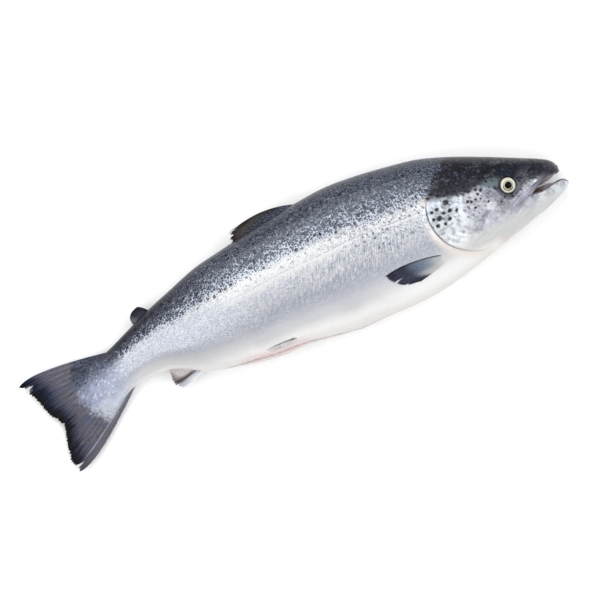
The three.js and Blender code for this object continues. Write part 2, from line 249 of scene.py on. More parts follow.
def skin_relief(u, v):
    """Small heights of the skin: eye socket, nostrils, cheek crease, shoulder and muscles."""
    from_eye = np.hypot(u - EYE["u"], v - EYE["v"])
    height = -3.4 * (1 - ease(from_eye, 9.2, 11.4)) + 0.9 * np.exp(-(((from_eye - 12.6) / 1.5) ** 2))
    for nu, nv, radius in NOSTRILS:
        height = height - 1.8 * np.exp(-((np.hypot(u - nu, (v - nv) * 1.3) / radius) ** 2))
    around = np.hypot(u - CREASE["u"], v - CREASE["v"])
    angle = np.degrees(np.arctan2(v - CREASE["v"], u - CREASE["u"]))
    length = ease(angle, -75, -60) * (1 - ease(angle, 28, 40))
    height = height - CREASE["depth"] * length * np.exp(-(((around - CREASE["radius"]) / 1.1) ** 2))
    behind = np.hypot(u - GILL_COVER["u"], v - GILL_COVER["v"]) - GILL_COVER["radius"]
    shoulder = ease(u, 118, 150) * (1 - ease(v, 48, 66))
    height = height - 1.3 * shoulder * np.exp(-((np.maximum(behind - 1, 0) / 4) ** 2)) * (behind > -6)
    cheek = 0.7 * np.exp(-(((u - 98) / 16) ** 2) - (((v - 22) / 14) ** 2))
    muscles = 0.35 * np.sin(u / 27 + v / 30) * np.sin(v / 19 - u / 70) * ease(u, 180, 240)
    return height + cheek + muscles * (1 - ease(u, 560, 620))


print("skin sinks under the eye by", round(float(-skin_relief(EYE["u"], EYE["v"])), 2), "mm")

# %% [markdown]
# ## Which part of the skin is what
# The head has bare skin, and scales start behind it. The crown is dark, the cheek is
# pale. These regions are worked out from the same measures as the shape, and are kept
# as a colour on each point, which the materials read as masks. The painting maps beside
# them say where a point lies, seen from the side and on the lattice of the scales.

# %% Regions of the skin
CROWN_LINE = [
    [-2, 12], [12, 14], [25, 19], [41, 22], [51, 23], [58, 17], [65, 13], [76, 14], [83, 24],
    [90, 36], [102, 45], [118, 44], [128, 46], [146, 51], [168, 60], [200, 66],
]
HEAD_END = {"u": 163, "v": 69, "slope": 1.35}


def regions(u, v):
    """Red: bare head. Green: dark crown. Blue: gill plate. Alpha below 1: lip plate."""
    arc = np.sqrt(np.clip(GILL_COVER["radius"] ** 2 - (v - GILL_COVER["v"]) ** 2, 0, None))
    nape = HEAD_END["u"] - HEAD_END["slope"] * (v - HEAD_END["v"])
    edge = np.where(v > HEAD_END["v"], nape, GILL_COVER["u"] + arc)
    soft = 2.5 + 11 * ease(v, 50, 68) + 14 * (1 - ease(v, -36, -24))
    head = 1 - ease(u - edge, -soft, soft)
    crown = ease(v - smooth(CROWN_LINE, 1, u), -9, 11)
    around = np.hypot(u - CREASE["u"], v - CREASE["v"])
    plate = ease(around - CREASE["radius"], -1.5, 1.5) * (1 - ease(v, 50, 58)) * ease(v, -26, -14)
    return np.stack([head, crown, plate, np.ones_like(head)], -1)


def painting_coords(u, v, girth):
    """Three maps: share of the depth, plain side view, and the lattice of the scales."""
    share = (v - belly(u)) / (back(u) - belly(u))
    return {
        "Flank": np.stack([u / TOTAL_LENGTH, share], -1),
        "Side": np.stack([u / 100, v / 100 + 0 * u], -1),
        "Scales": np.stack([u / 100, girth / 100], -1),
    }


on_cheek_and_flank = regions(np.array([100.0, 300.0]), np.array([20.0, 20.0]))
print("share of bare head on the cheek and on the flank", on_cheek_and_flank[:, 0].round(2))

# %% [markdown]
# ## The trunk
# Rings of points follow the sections from the jaw tip to the root of the tail. The
# rings are close together, about one and a half millimetres apart, so that the relief
# of the head shows. The girth of each ring, measured down from the ridge of the back,
# goes into the painting coordinates, so scales stay the same size all over.

# %% Build the trunk
AROUND = 176
NOSE_LENGTH = 1.6
NOSE_RINGS = (0.85, 0.55, 0.2)
ring_u = np.concatenate([np.linspace(0, 16, 12), np.linspace(17.3, 196, 138), np.linspace(198, 667, 212)])


def trunk_grid(ring_u):
    """Rings round the body: place along it, height, and distance out from the spine."""
    u = ring_u[:, None]
    angle = np.linspace(0, 2 * np.pi, AROUND, endpoint=False)[None, :]
    up, out = np.cos(angle), np.sin(angle)
    centre = middle(u)
    round_ = np.where(up > 0, BACK_ROUNDNESS, BELLY_ROUNDNESS)
    half = np.where(up > 0, back(u) - centre, centre - belly(u))
    v = centre + half * np.sign(up) * np.abs(up) ** (2 / round_)
    side = np.abs(out) ** (2 / round_) * (half_thickness(u) + skin_relief(u + 0 * v, v))
    return u + 0 * v, v, np.sign(out) * side


def girth_of(v, side):
    """Distance down from the ridge of the back along each half ring."""
    step = np.hypot(np.diff(v, axis=1), np.diff(side, axis=1))
    half = AROUND // 2
    down = np.concatenate([np.zeros((len(v), 1)), np.cumsum(step[:, :half], axis=1)], axis=1)
    return np.concatenate([down, down[:, -2:0:-1]], axis=1)


u, v, side = trunk_grid(ring_u)
girth = girth_of(v, side)
nose_u, nose_v, nose_side = u[:1], v[:1], side[:1]
for share in NOSE_RINGS:
    centre = middle(0.0)
    u = np.concatenate([nose_u - NOSE_LENGTH * math.sqrt(1 - share**2), u])
    v = np.concatenate([centre + (nose_v - centre) * (0.6 + 0.4 * share), v])
    side = np.concatenate([nose_side * share, side])
    girth = np.concatenate([girth[:1], girth])
faces = closed_tube(len(u), AROUND)
coords = {k: c.reshape(-1, 2) for k, c in painting_coords(np.clip(u, 0, None), v, girth).items()}
points = on_floor(u, v, spine(np.clip(u, 0, None)) + side).reshape(-1, 3)
trunk = make_piece("trunk", points, faces, coords, regions(u, v).reshape(-1, 4))
print("trunk", len(trunk.data.polygons), "faces")

# %% [markdown]
# ## Carving hollows
# The gape and the cut along the belly are hollows, so they are carved out with
# Boolean modifiers, as with a knife. Each carving tool carries a material of its
# own, and its faces keep it: the mouth gets its lining and the cut gets its flesh.

# %% Carving helpers
def plain_material(name):
    """A new material with its shader, ready for nodes."""
    made = bpy.data.materials.new(name)
    made.use_nodes = True
    return made


skin_finish = plain_material("salmon skin")
mouth_finish = plain_material("mouth lining")
flesh_finish = plain_material("cut flesh")
trunk.data.materials.append(skin_finish)


def carve(piece, tool, finish):
    """Takes the tool out of the piece, and gives the new faces a finish of their own."""
    tool.data.materials.clear()
    tool.data.materials.append(finish)
    step = piece.modifiers.new("carve", "BOOLEAN")
    step.object, step.operation, step.solver = tool, "DIFFERENCE", "EXACT"
    step.material_mode = "TRANSFER"
    graph = bpy.context.evaluated_depsgraph_get()
    evaluated = piece.evaluated_get(graph)
    carved = bpy.data.meshes.new_from_object(evaluated, preserve_all_data_layers=True, depsgraph=graph)
    piece.modifiers.clear()
    piece.data = carved
    bpy.data.objects.remove(tool)
    print(piece.name, "now has", len(carved.polygons), "faces")


def ellipsoid(name, u, v, radii, sides=48):
    """A ball stretched along the fish's own directions, as a grid of rings."""
    lat = np.linspace(0.02, np.pi - 0.02, sides // 2)[:, None]
    lon = np.linspace(0, 2 * np.pi, sides, endpoint=False)[None, :]
    du = radii[0] * np.cos(lat) + 0 * lon
    dv = radii[1] * np.sin(lat) * np.cos(lon)
    dz = radii[2] * np.sin(lat) * np.sin(lon)
    points = on_floor(u + du, v + dv, float(spine(u)) + dz).reshape(-1, 3)
    faces = closed_tube(sides // 2, sides)
    flat = np.stack([lat / np.pi + 0 * lon, lon / (2 * np.pi) + 0 * lat], -1).reshape(-1, 2)
    return make_piece(name, points, faces, {"Flank": flat, "Scales": flat})


print("finishes ready for carving:", [m.name for m in (mouth_finish, flesh_finish)])

# %% [markdown]
# ## The gape between the jaws
# The mouth is a little open. Its outline is drawn from the side, one lip after the
# other, and pushed through the whole head like a biscuit cutter. Two stretched balls
# then hollow the palate and the floor of the mouth, so that the gape looks deep.

# %% The gape between the jaws
UPPER_LIP = [[2, 26.5], [2.8, 23], [4, 19.5], [7, 18], [16, 19.6], [27, 19.8], [40, 15.4]]
MOUTH_CORNER = [54, 9]
LOWER_LIP = [[49, 7.4], [36, 5.8], [24, 6.9], [15, 8], [8, 8.2], [3, 6.5], [0.5, 3.5]]
PRISM_TOP = 160.0
PRISM_DEPTH = 0.04


def prism(name, outline):
    """A straight tool that cuts right through the head, from above it to below the floor."""
    outline = np.asarray(outline, float)
    count = len(outline)
    high = on_floor(outline[:, 0], outline[:, 1], PRISM_TOP)
    low = high * (1, 1, 0) - (0, 0, PRISM_DEPTH)
    faces = [[i, (i + 1) % count, (i + 1) % count + count, i + count] for i in range(count)]
    faces += [list(range(count)), list(range(count, 2 * count))]
    flat = np.zeros((2 * count, 2))
    return make_piece(name, np.concatenate([low, high]), faces, {"Flank": flat, "Scales": flat})


carve(trunk, prism("gape", [[-8, 38], *UPPER_LIP, MOUTH_CORNER, *LOWER_LIP, [-8, 1]]), mouth_finish)
MOUTH_HOLLOWS = {"palate hollow": (30, 19, (24, 7, 12)), "jaw hollow": (30, 6.5, (22, 7, 11))}
for name, (u, v, radii) in MOUTH_HOLLOWS.items():
    carve(trunk, ellipsoid(name, u, v, radii), mouth_finish)

# %% [markdown]
# ## The gutting cut
# The fish is gutted, and the slit along its belly lies a little open. A thin spindle
# that follows the belly carves it. The slit widens towards the vent, and small waves
# on the spindle give it the uneven edge that a knife leaves.

# %% The gutting cut
BELLY_CUT = [
    # behind the jaw tip, out from the middle towards the right flank, half width
    [150, -3, 1],
    [230, 2, 1.3],
    [300, 5, 1.5],
    [360, 8, 2],
    [400, 11, 3.4],
    [450, 10, 3.4],
    [485, 5, 1.4],
]
CUT_DEPTH = 7


def belly_cut(rings=120, sides=20):
    """A thin spindle that follows the belly line and tapers at both ends."""
    u = np.linspace(BELLY_CUT[0][0], BELLY_CUT[-1][0], rings)[:, None]
    out, wide = smooth(BELLY_CUT, 1, u), smooth(BELLY_CUT, 2, u)
    reach = (1 - (np.abs(out) / half_thickness(u)) ** BELLY_ROUNDNESS) ** (1 / BELLY_ROUNDNESS)
    skin = middle(u) - (middle(u) - belly(u)) * reach
    taper = np.sin(np.pi * (np.arange(rings) + 0.6) / (rings + 0.2))[:, None] ** 0.5
    angle = np.linspace(0, 2 * np.pi, sides, endpoint=False)[None, :]
    deep = CUT_DEPTH * taper * np.cos(angle)
    across = (wide + 0.25 * np.sin(u / 5.3) + 0.2 * np.sin(u / 2.1)) * taper * np.sin(angle)
    points = on_floor(u, skin + deep - across * 0.35, spine(u) + out + across - deep * 0.35)
    faces = closed_tube(rings, sides)
    flat = np.stack([u / 100 + 0 * angle, angle / 7 + 0 * u], -1).reshape(-1, 2)
    return make_piece("belly cut", points.reshape(-1, 3), faces, {"Flank": flat, "Scales": flat})


carve(trunk, belly_cut(), flesh_finish)
trunk.data.set_sharp_from_angle(angle=math.radians(50))

# %% [markdown]
# ## The gill covers
# A gill cover is a broad plate with a free rear rim, which stands off the body. It
# could be pushed out of the trunk mesh, but a shell of its own gives a sharp rim. A
# shell needs an under side as well, so it is built as two grids joined at the edge.

# %% Shells that lie on the skin
def shell(name, u, v, raise_, sunk, side, paint, under=None):
    """A closed plate that follows the flank, raise_ above it and sunk below it."""
    outer = on_floor(u, v, spine(u) + side * (flank(u, v) + raise_))
    lu, lv = (u, v) if under is None else under
    inner = on_floor(lu, lv, spine(lu) + side * (flank(lu, lv) - sunk))
    half = half_thickness(u)
    girth = 0.72 * (back(u) - v) + 0.3 * half
    return two_sided(name, outer, inner, painting_coords(u, v, girth), paint)


GILL_SWEEP = (-100, 31)
GILL_PLATE, GILL_RIM, RIM_ROUND = (8, 56.2), 56.6, 1.6
GILL_TUCK, GILL_SUNK = 0.975, 3.2


def gill_cover(name, side):
    """A fan of points round the middle of the cover, with a rounded rear rim."""
    angle = np.radians(np.linspace(*GILL_SWEEP, 150))[:, None]
    turn = np.radians(np.linspace(0, 90, 9))
    radius = np.concatenate([np.linspace(*GILL_PLATE, 64), GILL_RIM + RIM_ROUND * np.sin(turn)])[None, :]
    rim = np.concatenate([np.ones(64), np.cos(turn)])[None, :]
    wave = 1 + 0.006 * np.sin(angle * 9) + 0.004 * np.sin(angle * 23)
    u = GILL_COVER["u"] + radius * wave * np.cos(angle)
    v = GILL_COVER["v"] + radius * wave * np.sin(angle)
    raised = gill_raise(u, v)
    ribs = 0.12 * np.sin(radius * 0.9 + 2 * np.sin(angle * 3)) * ease(radius, 24, 40)
    lift = np.where(raised > 0, 0.35 + (raised - 0.35) * rim, raised) + ribs * rim
    paint = regions(GILL_COVER["u"] + 0.9 * (u - GILL_COVER["u"]), v)
    paint[..., 0] = 1
    tucked = (GILL_COVER["u"] + GILL_TUCK * (u - GILL_COVER["u"]),
              GILL_COVER["v"] + GILL_TUCK * (v - GILL_COVER["v"]))
    return shell(name, u, v, lift, GILL_SUNK, side, paint, tucked)


right_gill_cover, left_gill_cover = gill_cover("right gill cover", 1), gill_cover("left gill cover", -1)
print("gill cover", round(right_gill_cover.dimensions.x * 1000, 1), "mm long")

# %% [markdown]
# ## The lip plates
# The upper jaw carries a flat bone that reaches back below the eye. It starts narrow
# at the snout and ends in a broad round tip. It is a low dome laid over the cheek, and
# its own share of the painting tells the material that this is lip, not cheek.

# %% Lip plates
LIP_PLATE = {"from": (24, 21.5), "to": (76, 3), "half_width": (2.4, 6.4), "raise": 1.3, "sunk": 2.0}


def lip_plate(name, side):
    """A narrow leaf from the snout to below the eye, domed across."""
    (u0, v0), (u1, v1) = LIP_PLATE["from"], LIP_PLATE["to"]
    length = math.hypot(u1 - u0, v1 - v0)
    along, across = ((u1 - u0) / length, (v1 - v0) / length), np.linspace(-1, 1, 25)[None, :]
    a = np.linspace(np.pi - 0.08, 0.08, 70)[:, None]
    run = 0.5 + 0.5 * np.cos(a)
    narrow, broad = LIP_PLATE["half_width"]
    wide = (narrow + (broad - narrow) * run) * np.sin(a) ** 0.5 * across
    u = u0 + length * (along[0] * run) - along[1] * wide
    v = v0 + length * (along[1] * run) + along[0] * wide
    dome = (1 - np.abs(across) ** 5) * np.sin(a) ** 0.35
    lift = LIP_PLATE["raise"] * dome * (0.8 + 0.2 * np.cos(across * 4)) - 0.3
    paint = regions(u, v)
    paint[..., 0], paint[..., 3] = 1, 0.12 + 0.35 * run[..., 0][:, None] + 0 * across
    return shell(name, u, v, lift, LIP_PLATE["sunk"], side, paint)


right_lip_plate, left_lip_plate = lip_plate("right lip plate", 1), lip_plate("left lip plate", -1)
print("lip plate", round(right_lip_plate.dimensions.x * 1000, 1), "mm long")

# %% [markdown]
# ## Lips, tongue and palate
# A lip is a soft cord round the edge of the gape, from one corner of the mouth round
# the front to the other. A tube along that path is the simplest form for it. Inside
# the mouth the tongue and the ridge of the palate are two stretched balls.

# %% Lips, tongue and palate
TUBE_SIDES = 10


def tube(name, path, radius):
    """A thin rod along a path of points in the fish's own millimetres."""
    path = np.asarray(path, float)
    ahead = np.gradient(path, axis=0)
    ahead /= np.linalg.norm(ahead, axis=1)[:, None]
    first = np.cross(ahead, [0.3, 0.2, 0.93])
    first /= np.linalg.norm(first, axis=1)[:, None]
    second = np.cross(ahead, first)
    angle = np.linspace(0, 2 * np.pi, TUBE_SIDES, endpoint=False)
    ring = first[:, None] * np.cos(angle)[None, :, None] + second[:, None] * np.sin(angle)[None, :, None]
    points = path[:, None] + ring * radius
    faces = closed_tube(len(path), TUBE_SIDES)
    flat = np.stack([points[..., 0] / TOTAL_LENGTH, points[..., 1] / 100], -1).reshape(-1, 2)
    placed = on_floor(points[..., 0], points[..., 1], points[..., 2]).reshape(-1, 3)
    return make_piece(name, placed, faces, {"Flank": flat, "Scales": flat})


LIP_RADIUS = 1.05


def lip(name, outline):
    """A lip runs from one corner of the mouth round the front to the other corner."""
    outline = np.asarray(outline, float)
    step = np.r_[0, np.cumsum(np.hypot(*np.diff(outline, axis=0).T))]
    fine = np.linspace(0, step[-1], 60)
    u, v = np.interp(fine, step, outline[:, 0]), np.interp(fine, step, outline[:, 1])
    out = flank(u, v) - 0.4
    right = np.stack([u, v, spine(u) + out], -1)
    left = np.stack([u, v, spine(u) - out], -1)[::-1]
    turn = np.linspace(0, 1, 9)[1:-1, None]
    across = right[-1] * (1 - turn) + left[0] * turn
    return tube(name, np.concatenate([right, across, left]), LIP_RADIUS)


shells = [right_gill_cover, left_gill_cover, right_lip_plate, left_lip_plate]
lips = [lip("upper lip", [MOUTH_CORNER, *UPPER_LIP[:1:-1]]), lip("lower lip", [MOUTH_CORNER, *LOWER_LIP])]
mouth_parts = [ellipsoid("tongue", 36, 3.5, (25, 8.5, 7)),
               ellipsoid("palate ridge", 34, 21.5, (26, 7.8, 4.5))]
print(len(shells), "shells,", len(lips), "lips and", len(mouth_parts), "pieces inside the mouth")

# %% [markdown]
# ## The eyes
# An eye is a shallow dome with a raised lens over the pupil. It is turned on a lathe:
# one profile goes round, which is quick and exact. Its painting map is simply the
# distance from the middle of the pupil, so the rings can be painted as rings.

# %% Turn the eyes
EYE_SIDES = 72


def eye(name, side):
    """A dome turned round its axis, tilted a little forward, set in the socket."""
    lat = np.linspace(0, np.pi, 58)[1:-1, None]
    lon = np.linspace(0, 2 * np.pi, EYE_SIDES, endpoint=False)[None, :]
    radius = np.sin(lat)
    lens = 0.75 * np.exp(-((radius / 0.36) ** 2)) - 0.3 * np.exp(-(((radius - 0.56) / 0.07) ** 2))
    high = EYE["bulge"] * np.cos(lat) + lens * (lat < np.pi / 2)
    x, y = EYE["radius"] * radius * np.cos(lon), EYE["radius"] * radius * np.sin(lon)
    tilt = math.radians(EYE["tilt"])
    away = x * math.cos(tilt) - high * math.sin(tilt)
    out = x * math.sin(tilt) + high * math.cos(tilt)
    centre = float(flank(EYE["u"], EYE["v"])) - EYE["sink"]
    u, v = EYE["u"] + away, EYE["v"] + y
    points = on_floor(u, v, float(spine(EYE["u"])) + side * (centre + out)).reshape(-1, 3)
    faces = closed_tube(len(lat), EYE_SIDES)
    disc = np.stack([0.5 + radius * np.cos(lon) / 2, 0.5 + radius * np.sin(lon) / 2], -1)
    return make_piece(name, points, faces, {"Disc": disc.reshape(-1, 2)})


right_eye, left_eye = eye("right eye", 1), eye("left eye", -1)
print("eye", round(right_eye.dimensions.x * 1000, 1), "mm across")

# %% [markdown]
# ## The fins
# A fin is a fan: many bony rays with thin skin between them. Each ray is a curve from
# the root to the free edge. Walking across the fan and out along each ray gives a
# grid, and the rays themselves are thicker lines in it. The free edge is frayed, with
# a few deep splits, because a real fin wears at its edge.

# %% Sizes of the fins, in millimetres
# root: where the first and the last ray start; edge: where the rays end, in order
# bow and knee: how far a ray bulges and where; thick: at the root and at the edge
# worn: share of the length that wear takes; splits: place, depth and half width
TAIL = {"root": [[606, 72], [598, 20]], "bow": [15, -15], "knee": 0.86, "rays": 19, "thick": [5.0, 1.0],
        "edge": [[730, 84], [719, 61], [714, 40], [703, 17], [709, -4], [714, -28], [710, -44.5]],
        "worn": 0.075,
        "splits": [[0.925, 0.17, 0.022], [0.07, 0.16, 0.022], [0.5, 0.06, 0.01], [0.68, 0.05, 0.01]]}
DORSAL = {"root": [[308, 127], [390, 121]], "bow": [17, 0], "knee": 0.5, "rays": 12, "thick": [4.4, 1.0],
          "edge": [[400, 138.5], [411, 136.5], [411, 124]], "worn": 0.14,
          "splits": [[0.22, 0.1, 0.03], [0.45, 0.14, 0.04], [0.7, 0.12, 0.03]]}
ADIPOSE = {"root": [[540, 94], [561, 86]], "bow": [3, -1], "knee": 0.5, "rays": 5, "thick": [4.6, 2.0],
           "edge": [[552, 107], [561, 104], [566.5, 98], [567, 91]], "worn": 0.0, "splits": []}
ANAL = {"root": [[500, 4], [552, 24]], "bow": [-6, 0], "knee": 0.5, "rays": 11, "thick": [4, 0.9],
        "edge": [[549, -10], [554, -5], [555, 4], [552, 11]], "worn": 0.12, "splits": [[0.35, 0.12, 0.03]]}
PECTORAL = {"root": [[172, -11], [176, -18]], "bow": [11, -1], "knee": 0.62, "rays": 12, "thick": [3.8, 1.2],
            "edge": [[259, -0.5], [256, -9], [243, -21.5], [222, -26]], "worn": 0.06, "proud": 1.3,
            "splits": [[0.45, 0.2, 0.03], [0.7, 0.08, 0.02]]}
PELVIC = {"root": [[384, -18.5], [385, -25]], "bow": [3, 0], "knee": 0.5, "rays": 8, "thick": [3.2, 0.8],
          "edge": [[434, -14], [432, -17], [427, -20.5]], "worn": 0.07, "proud": 0.5,
          "splits": [[0.5, 0.1, 0.04]]}
print("longest fin ray of the tail", round(math.dist(TAIL["root"][0], TAIL["edge"][0])), "mm")

# %% [markdown]
# ## Spreading a fan
# The helper below walks across the fan in twelve steps from ray to ray. A ray is a
# quadratic curve with a knee. Its length is cut back by random wear and by the deep
# splits, and its thickness falls from the root to the edge.

# %% Spread a fan
STEPS_PER_RAY = 12
chance = np.random.default_rng(4)


def fan(name, fin, height, rows=46):
    """A fin of two skins over its rays, worn and split at the free edge."""
    columns = STEPS_PER_RAY * fin["rays"] + 1
    q = np.linspace(0, 1, columns)[:, None]
    edge = [[i / (len(fin["edge"]) - 1), *p] for i, p in enumerate(fin["edge"])]
    (u0, v0), (u1, v1) = fin["root"]
    ru, rv = u0 + q * (u1 - u0), v0 + q * (v1 - v0)
    tu, tv = smooth(edge, 1, q), smooth(edge, 2, q)
    length, bow = np.hypot(tu - ru, tv - rv), fin["bow"][0] + q * (fin["bow"][1] - fin["bow"][0])
    ku = ru + (tu - ru) * fin["knee"] - (tv - rv) / length * bow
    kv = rv + (tv - rv) * fin["knee"] + (tu - ru) / length * bow
    inside = ease(q, 0, 0.04) * ease(1 - q, 0, 0.04)
    beat = np.cos(2 * np.pi * q * fin["rays"] * 2)
    fray = chance.random((columns, 1)) ** 2
    coarse = np.interp(q[:, 0], np.linspace(0, 1, 2 * fin["rays"]), chance.random(2 * fin["rays"]))[:, None]
    reach = 1 - inside * fin["worn"] * (0.45 * fray + 0.55 * coarse + 0.2 * (1 - beat))
    for place, depth, width in fin["splits"]:
        reach = reach - depth * np.clip(1 - np.abs(q - place) / width, 0, 1)
    t = reach * np.linspace(0, 1, rows)[None, :]
    u = (1 - t) ** 2 * ru + 2 * t * (1 - t) * ku + t * t * tu
    v = (1 - t) ** 2 * rv + 2 * t * (1 - t) * kv + t * t * tv
    forked = ease(t, 0.45, 0.7)
    wave = np.cos(2 * np.pi * q * fin["rays"]) * (1 - forked) + np.cos(4 * np.pi * q * fin["rays"]) * forked
    ray = 0.62 + 0.38 * (wave if fin["worn"] else 0.9)
    ray = ray + 0.08 * np.sin(t * length / 0.9) * ease(t, 0.4, 0.6) * (wave > 0)
    thick = (fin["thick"][0] + t * (fin["thick"][1] - fin["thick"][0])) * (1 - (1 - ray) * ease(t, 0.05, 0.4))
    lead = np.clip(1 - (q - 0.5) ** 16 * 2.0**16 * 0.6, 0.4, 1)
    z = height(u, v, t)
    upper, lower = on_floor(u, v, z + thick * lead / 2), on_floor(u, v, z - thick * lead / 2)
    share = (v - belly(u)) / (back(u) - belly(u))
    coords = {"Fan": np.stack([q + 0 * t, t], -1), "Flank": np.stack([u / TOTAL_LENGTH, share], -1),
              "Side": np.stack([u / 100, v / 100], -1),
              "Scales": np.stack([u / 100, (back(u) - v) / 100], -1)}
    return two_sided(name, upper, lower, coords)


print("the tail will be a fan of", STEPS_PER_RAY * TAIL["rays"] + 1, "columns")

# %% [markdown]
# ## How the fins lie
# The fins of the middle line stand in the plane of the spine. The tail cups a little
# and its skin flutters. The paired fins are folded back and lie on the flank, so their
# height is the height of the skin below them.

# %% How the fins lie
def along_spine(u, v, t):
    """Fins of the middle line stand at the height of the spine."""
    return spine(u) + 0 * v


def tail_height(u, v, t):
    """The tail cups a little, and its skin flutters towards the edge."""
    cup = 2.5 * ((v - 22) / 60) ** 2 * np.minimum(1, (u - 590) / 80)
    flutter = 0.7 * np.sin(v / 6.5 + u / 40) * ease(t, 0.4, 1)
    return spine(np.minimum(u, 640)) + 0.02 * np.clip(u - 640, 0, None) + cup + flutter


ROOT_SUNK, SKIN_SUNK = 2.6, 0.8


def on_flank(fin, side):
    """A paired fin follows the flank, and its root is sunk into the skin."""
    def height(u, v, t):
        sunk = SKIN_SUNK + ROOT_SUNK * (1 - ease(t, 0, 0.2))
        return spine(u) + side * (flank(u, v) + fin["proud"] * t - sunk)

    return height


tail = fan("tail fin", TAIL, tail_height, 64)
dorsal = fan("dorsal fin", DORSAL, along_spine)
adipose = fan("adipose fin", ADIPOSE, along_spine, 24)
anal = fan("anal fin", ANAL, along_spine)
pectorals = [fan("right pectoral fin", PECTORAL, on_flank(PECTORAL, 1)),
             fan("left pectoral fin", PECTORAL, on_flank(PECTORAL, -1))]
pelvics = [fan("right pelvic fin", PELVIC, on_flank(PELVIC, 1)),
           fan("left pelvic fin", PELVIC, on_flank(PELVIC, -1))]
fins = [tail, dorsal, adipose, anal, *pectorals, *pelvics]
print(len(fins), "fins,", sum(len(f.data.polygons) for f in fins), "faces")

# %% [markdown]
# ## Colours as the eye sees them
# The rest is paint. Colours are given as they look on a screen. They are turned into
# linear numbers, and mixed a little darker, because the floor is lit until it goes
# white and wet skin mirrors some of that light.

# %% Colours as the eye sees them
STUDIO_LIGHT = 1.28
SKIN_GLOSS = 0.014


def tone(red, green, blue):
    """Paint that will look like this screen colour once the studio light falls on it."""
    def paint(c):
        c = c / 255
        linear = c / 12.92 if c <= 0.04045 else ((c + 0.055) / 1.055) ** 2.4
        return max(linear / STUDIO_LIGHT - SKIN_GLOSS, 0.002)

    return (paint(red), paint(green), paint(blue), 1.0)


def grey(value):
    """A plain grey in linear light."""
    return (value, value, value, 1.0)


print("a mid grey on screen is", round(tone(128, 128, 128)[0], 3), "in linear light")

# %% [markdown]
# ## A helper for node trees
# Node trees are easier to write as sentences than as wires, so a small helper adds a
# node and plugs its inputs in one call. Its words are those of a painter: a ramp runs
# through colours, a step makes a soft mask, and a glaze lays one thin colour over
# another wherever its masks allow it.

# %% A helper for node trees
class Wires:
    """Adds nodes to a tree. A value may be a number, a colour or another node's output."""

    def __init__(self, tree, target):
        self.tree, self.target = tree, target

    def add(self, kind, inputs=None, **settings):
        node = self.tree.nodes.new("ShaderNode" + kind)
        for key, value in settings.items():
            setattr(node, key, value)
        for key, value in (inputs or {}).items():
            if isinstance(value, bpy.types.NodeSocket):
                self.tree.links.new(value, node.inputs[key])
            else:
                node.inputs[key].default_value = value
        return node

    def calc(self, operation, a, b=0.0, c=0.0):
        return self.add("Math", {0: a, 1: b, 2: c}, operation=operation).outputs[0]

    def times(self, *values):
        result = values[0]
        for value in values[1:]:
            result = self.calc("MULTIPLY", result, value)
        return result

    def apart(self, a, b):
        return self.calc("ABSOLUTE", self.calc("SUBTRACT", a, b))

    def sway(self, pattern, *strengths):
        """A pattern from 0 to 1, turned into a push to both sides."""
        return self.times(self.calc("SUBTRACT", pattern, 0.5), *strengths)

    def step(self, value, low, high, bottom=0.0, top=1.0):
        made = self.add("MapRange", {0: value, 1: low, 2: high, 3: bottom, 4: top},
                        interpolation_type="SMOOTHSTEP")
        return made.outputs[0]

    def blend(self, share, under, over, kind="MIX"):
        made = self.add("Mix", {0: share, 6: under, 7: over}, data_type="RGBA", blend_type=kind)
        return made.outputs[2]

    def glaze(self, under, over, *shares):
        """A thin layer of one colour over another, where all its shares allow it."""
        return self.blend(self.times(*shares), under, over)

    def ramp(self, value, stops):
        made = self.add("ValToRGB", {0: value})
        points = made.color_ramp.elements
        while len(points) < len(stops):
            points.new(0.5)
        for point, (at, colour) in zip(points, stops):
            point.position, point.color = at, colour
        return made.outputs[0]

    def noise(self, vector, scale, detail=3.0, rough=0.5):
        made = self.add("TexNoise", {"Vector": vector, "Scale": scale, "Detail": detail, "Roughness": rough})
        return made.outputs[0]

    def stretch(self, vector, x, y, z=1.0):
        return self.add("VectorMath", {0: vector, 1: (x, y, z)}, operation="MULTIPLY").outputs[0]

    def move(self, vector, by):
        return self.add("VectorMath", {0: vector, 1: by}, operation="ADD").outputs[0]

    def distance(self, vector, x, y):
        return self.add("VectorMath", {0: vector, 1: (x, y, 0.0)}, operation="DISTANCE").outputs[1]

    def send(self, **made):
        """Joins what was made to the tree's outputs of the same names."""
        for socket, value in made.items():
            self.tree.links.new(value, self.target[socket.replace("_", " ")])

    def bump(self, height, strength, distance):
        inputs = {"Height": height, "Strength": strength, "Distance": distance}
        return self.add("Bump", inputs).outputs[0]

    def parts(self, vector):
        return self.add("SeparateXYZ", {0: vector}).outputs

    def join(self, x, y):
        return self.add("CombineXYZ", {0: x, 1: y}).outputs[0]

    def chart(self, name):
        return self.add("UVMap", uv_map=name).outputs[0]

    def use(self, group, inputs):
        return self.add("Group", inputs, node_tree=group).outputs


def new_group(name, inputs, outputs):
    """An empty reusable effect, with its named inputs and outputs."""
    tree = bpy.data.node_groups.new(name, "ShaderNodeTree")
    kinds = {"value": "NodeSocketFloat", "vector": "NodeSocketVector", "colour": "NodeSocketColor"}
    for label, kind in inputs:
        tree.interface.new_socket(label, in_out="INPUT", socket_type=kinds[kind])
    for label, kind in outputs:
        tree.interface.new_socket(label, in_out="OUTPUT", socket_type=kinds[kind])
    entry, leave = tree.nodes.new("NodeGroupInput"), tree.nodes.new("NodeGroupOutput")
    return tree, Wires(tree, leave.inputs), entry.outputs


print("the helper knows", len([word for word in vars(Wires) if not word.startswith("_")]), "words")

# %% [markdown]
# ## The scale effect
# Scales lie like roof tiles. Each column is shifted by half a scale against the next,
# and the free edge of a scale curves over the column behind it. The effect first asks
# which scale covers a point, then gives its slope, its shadowed edge and a random
# number. An image could do it, but this one has no seams and no size limit.

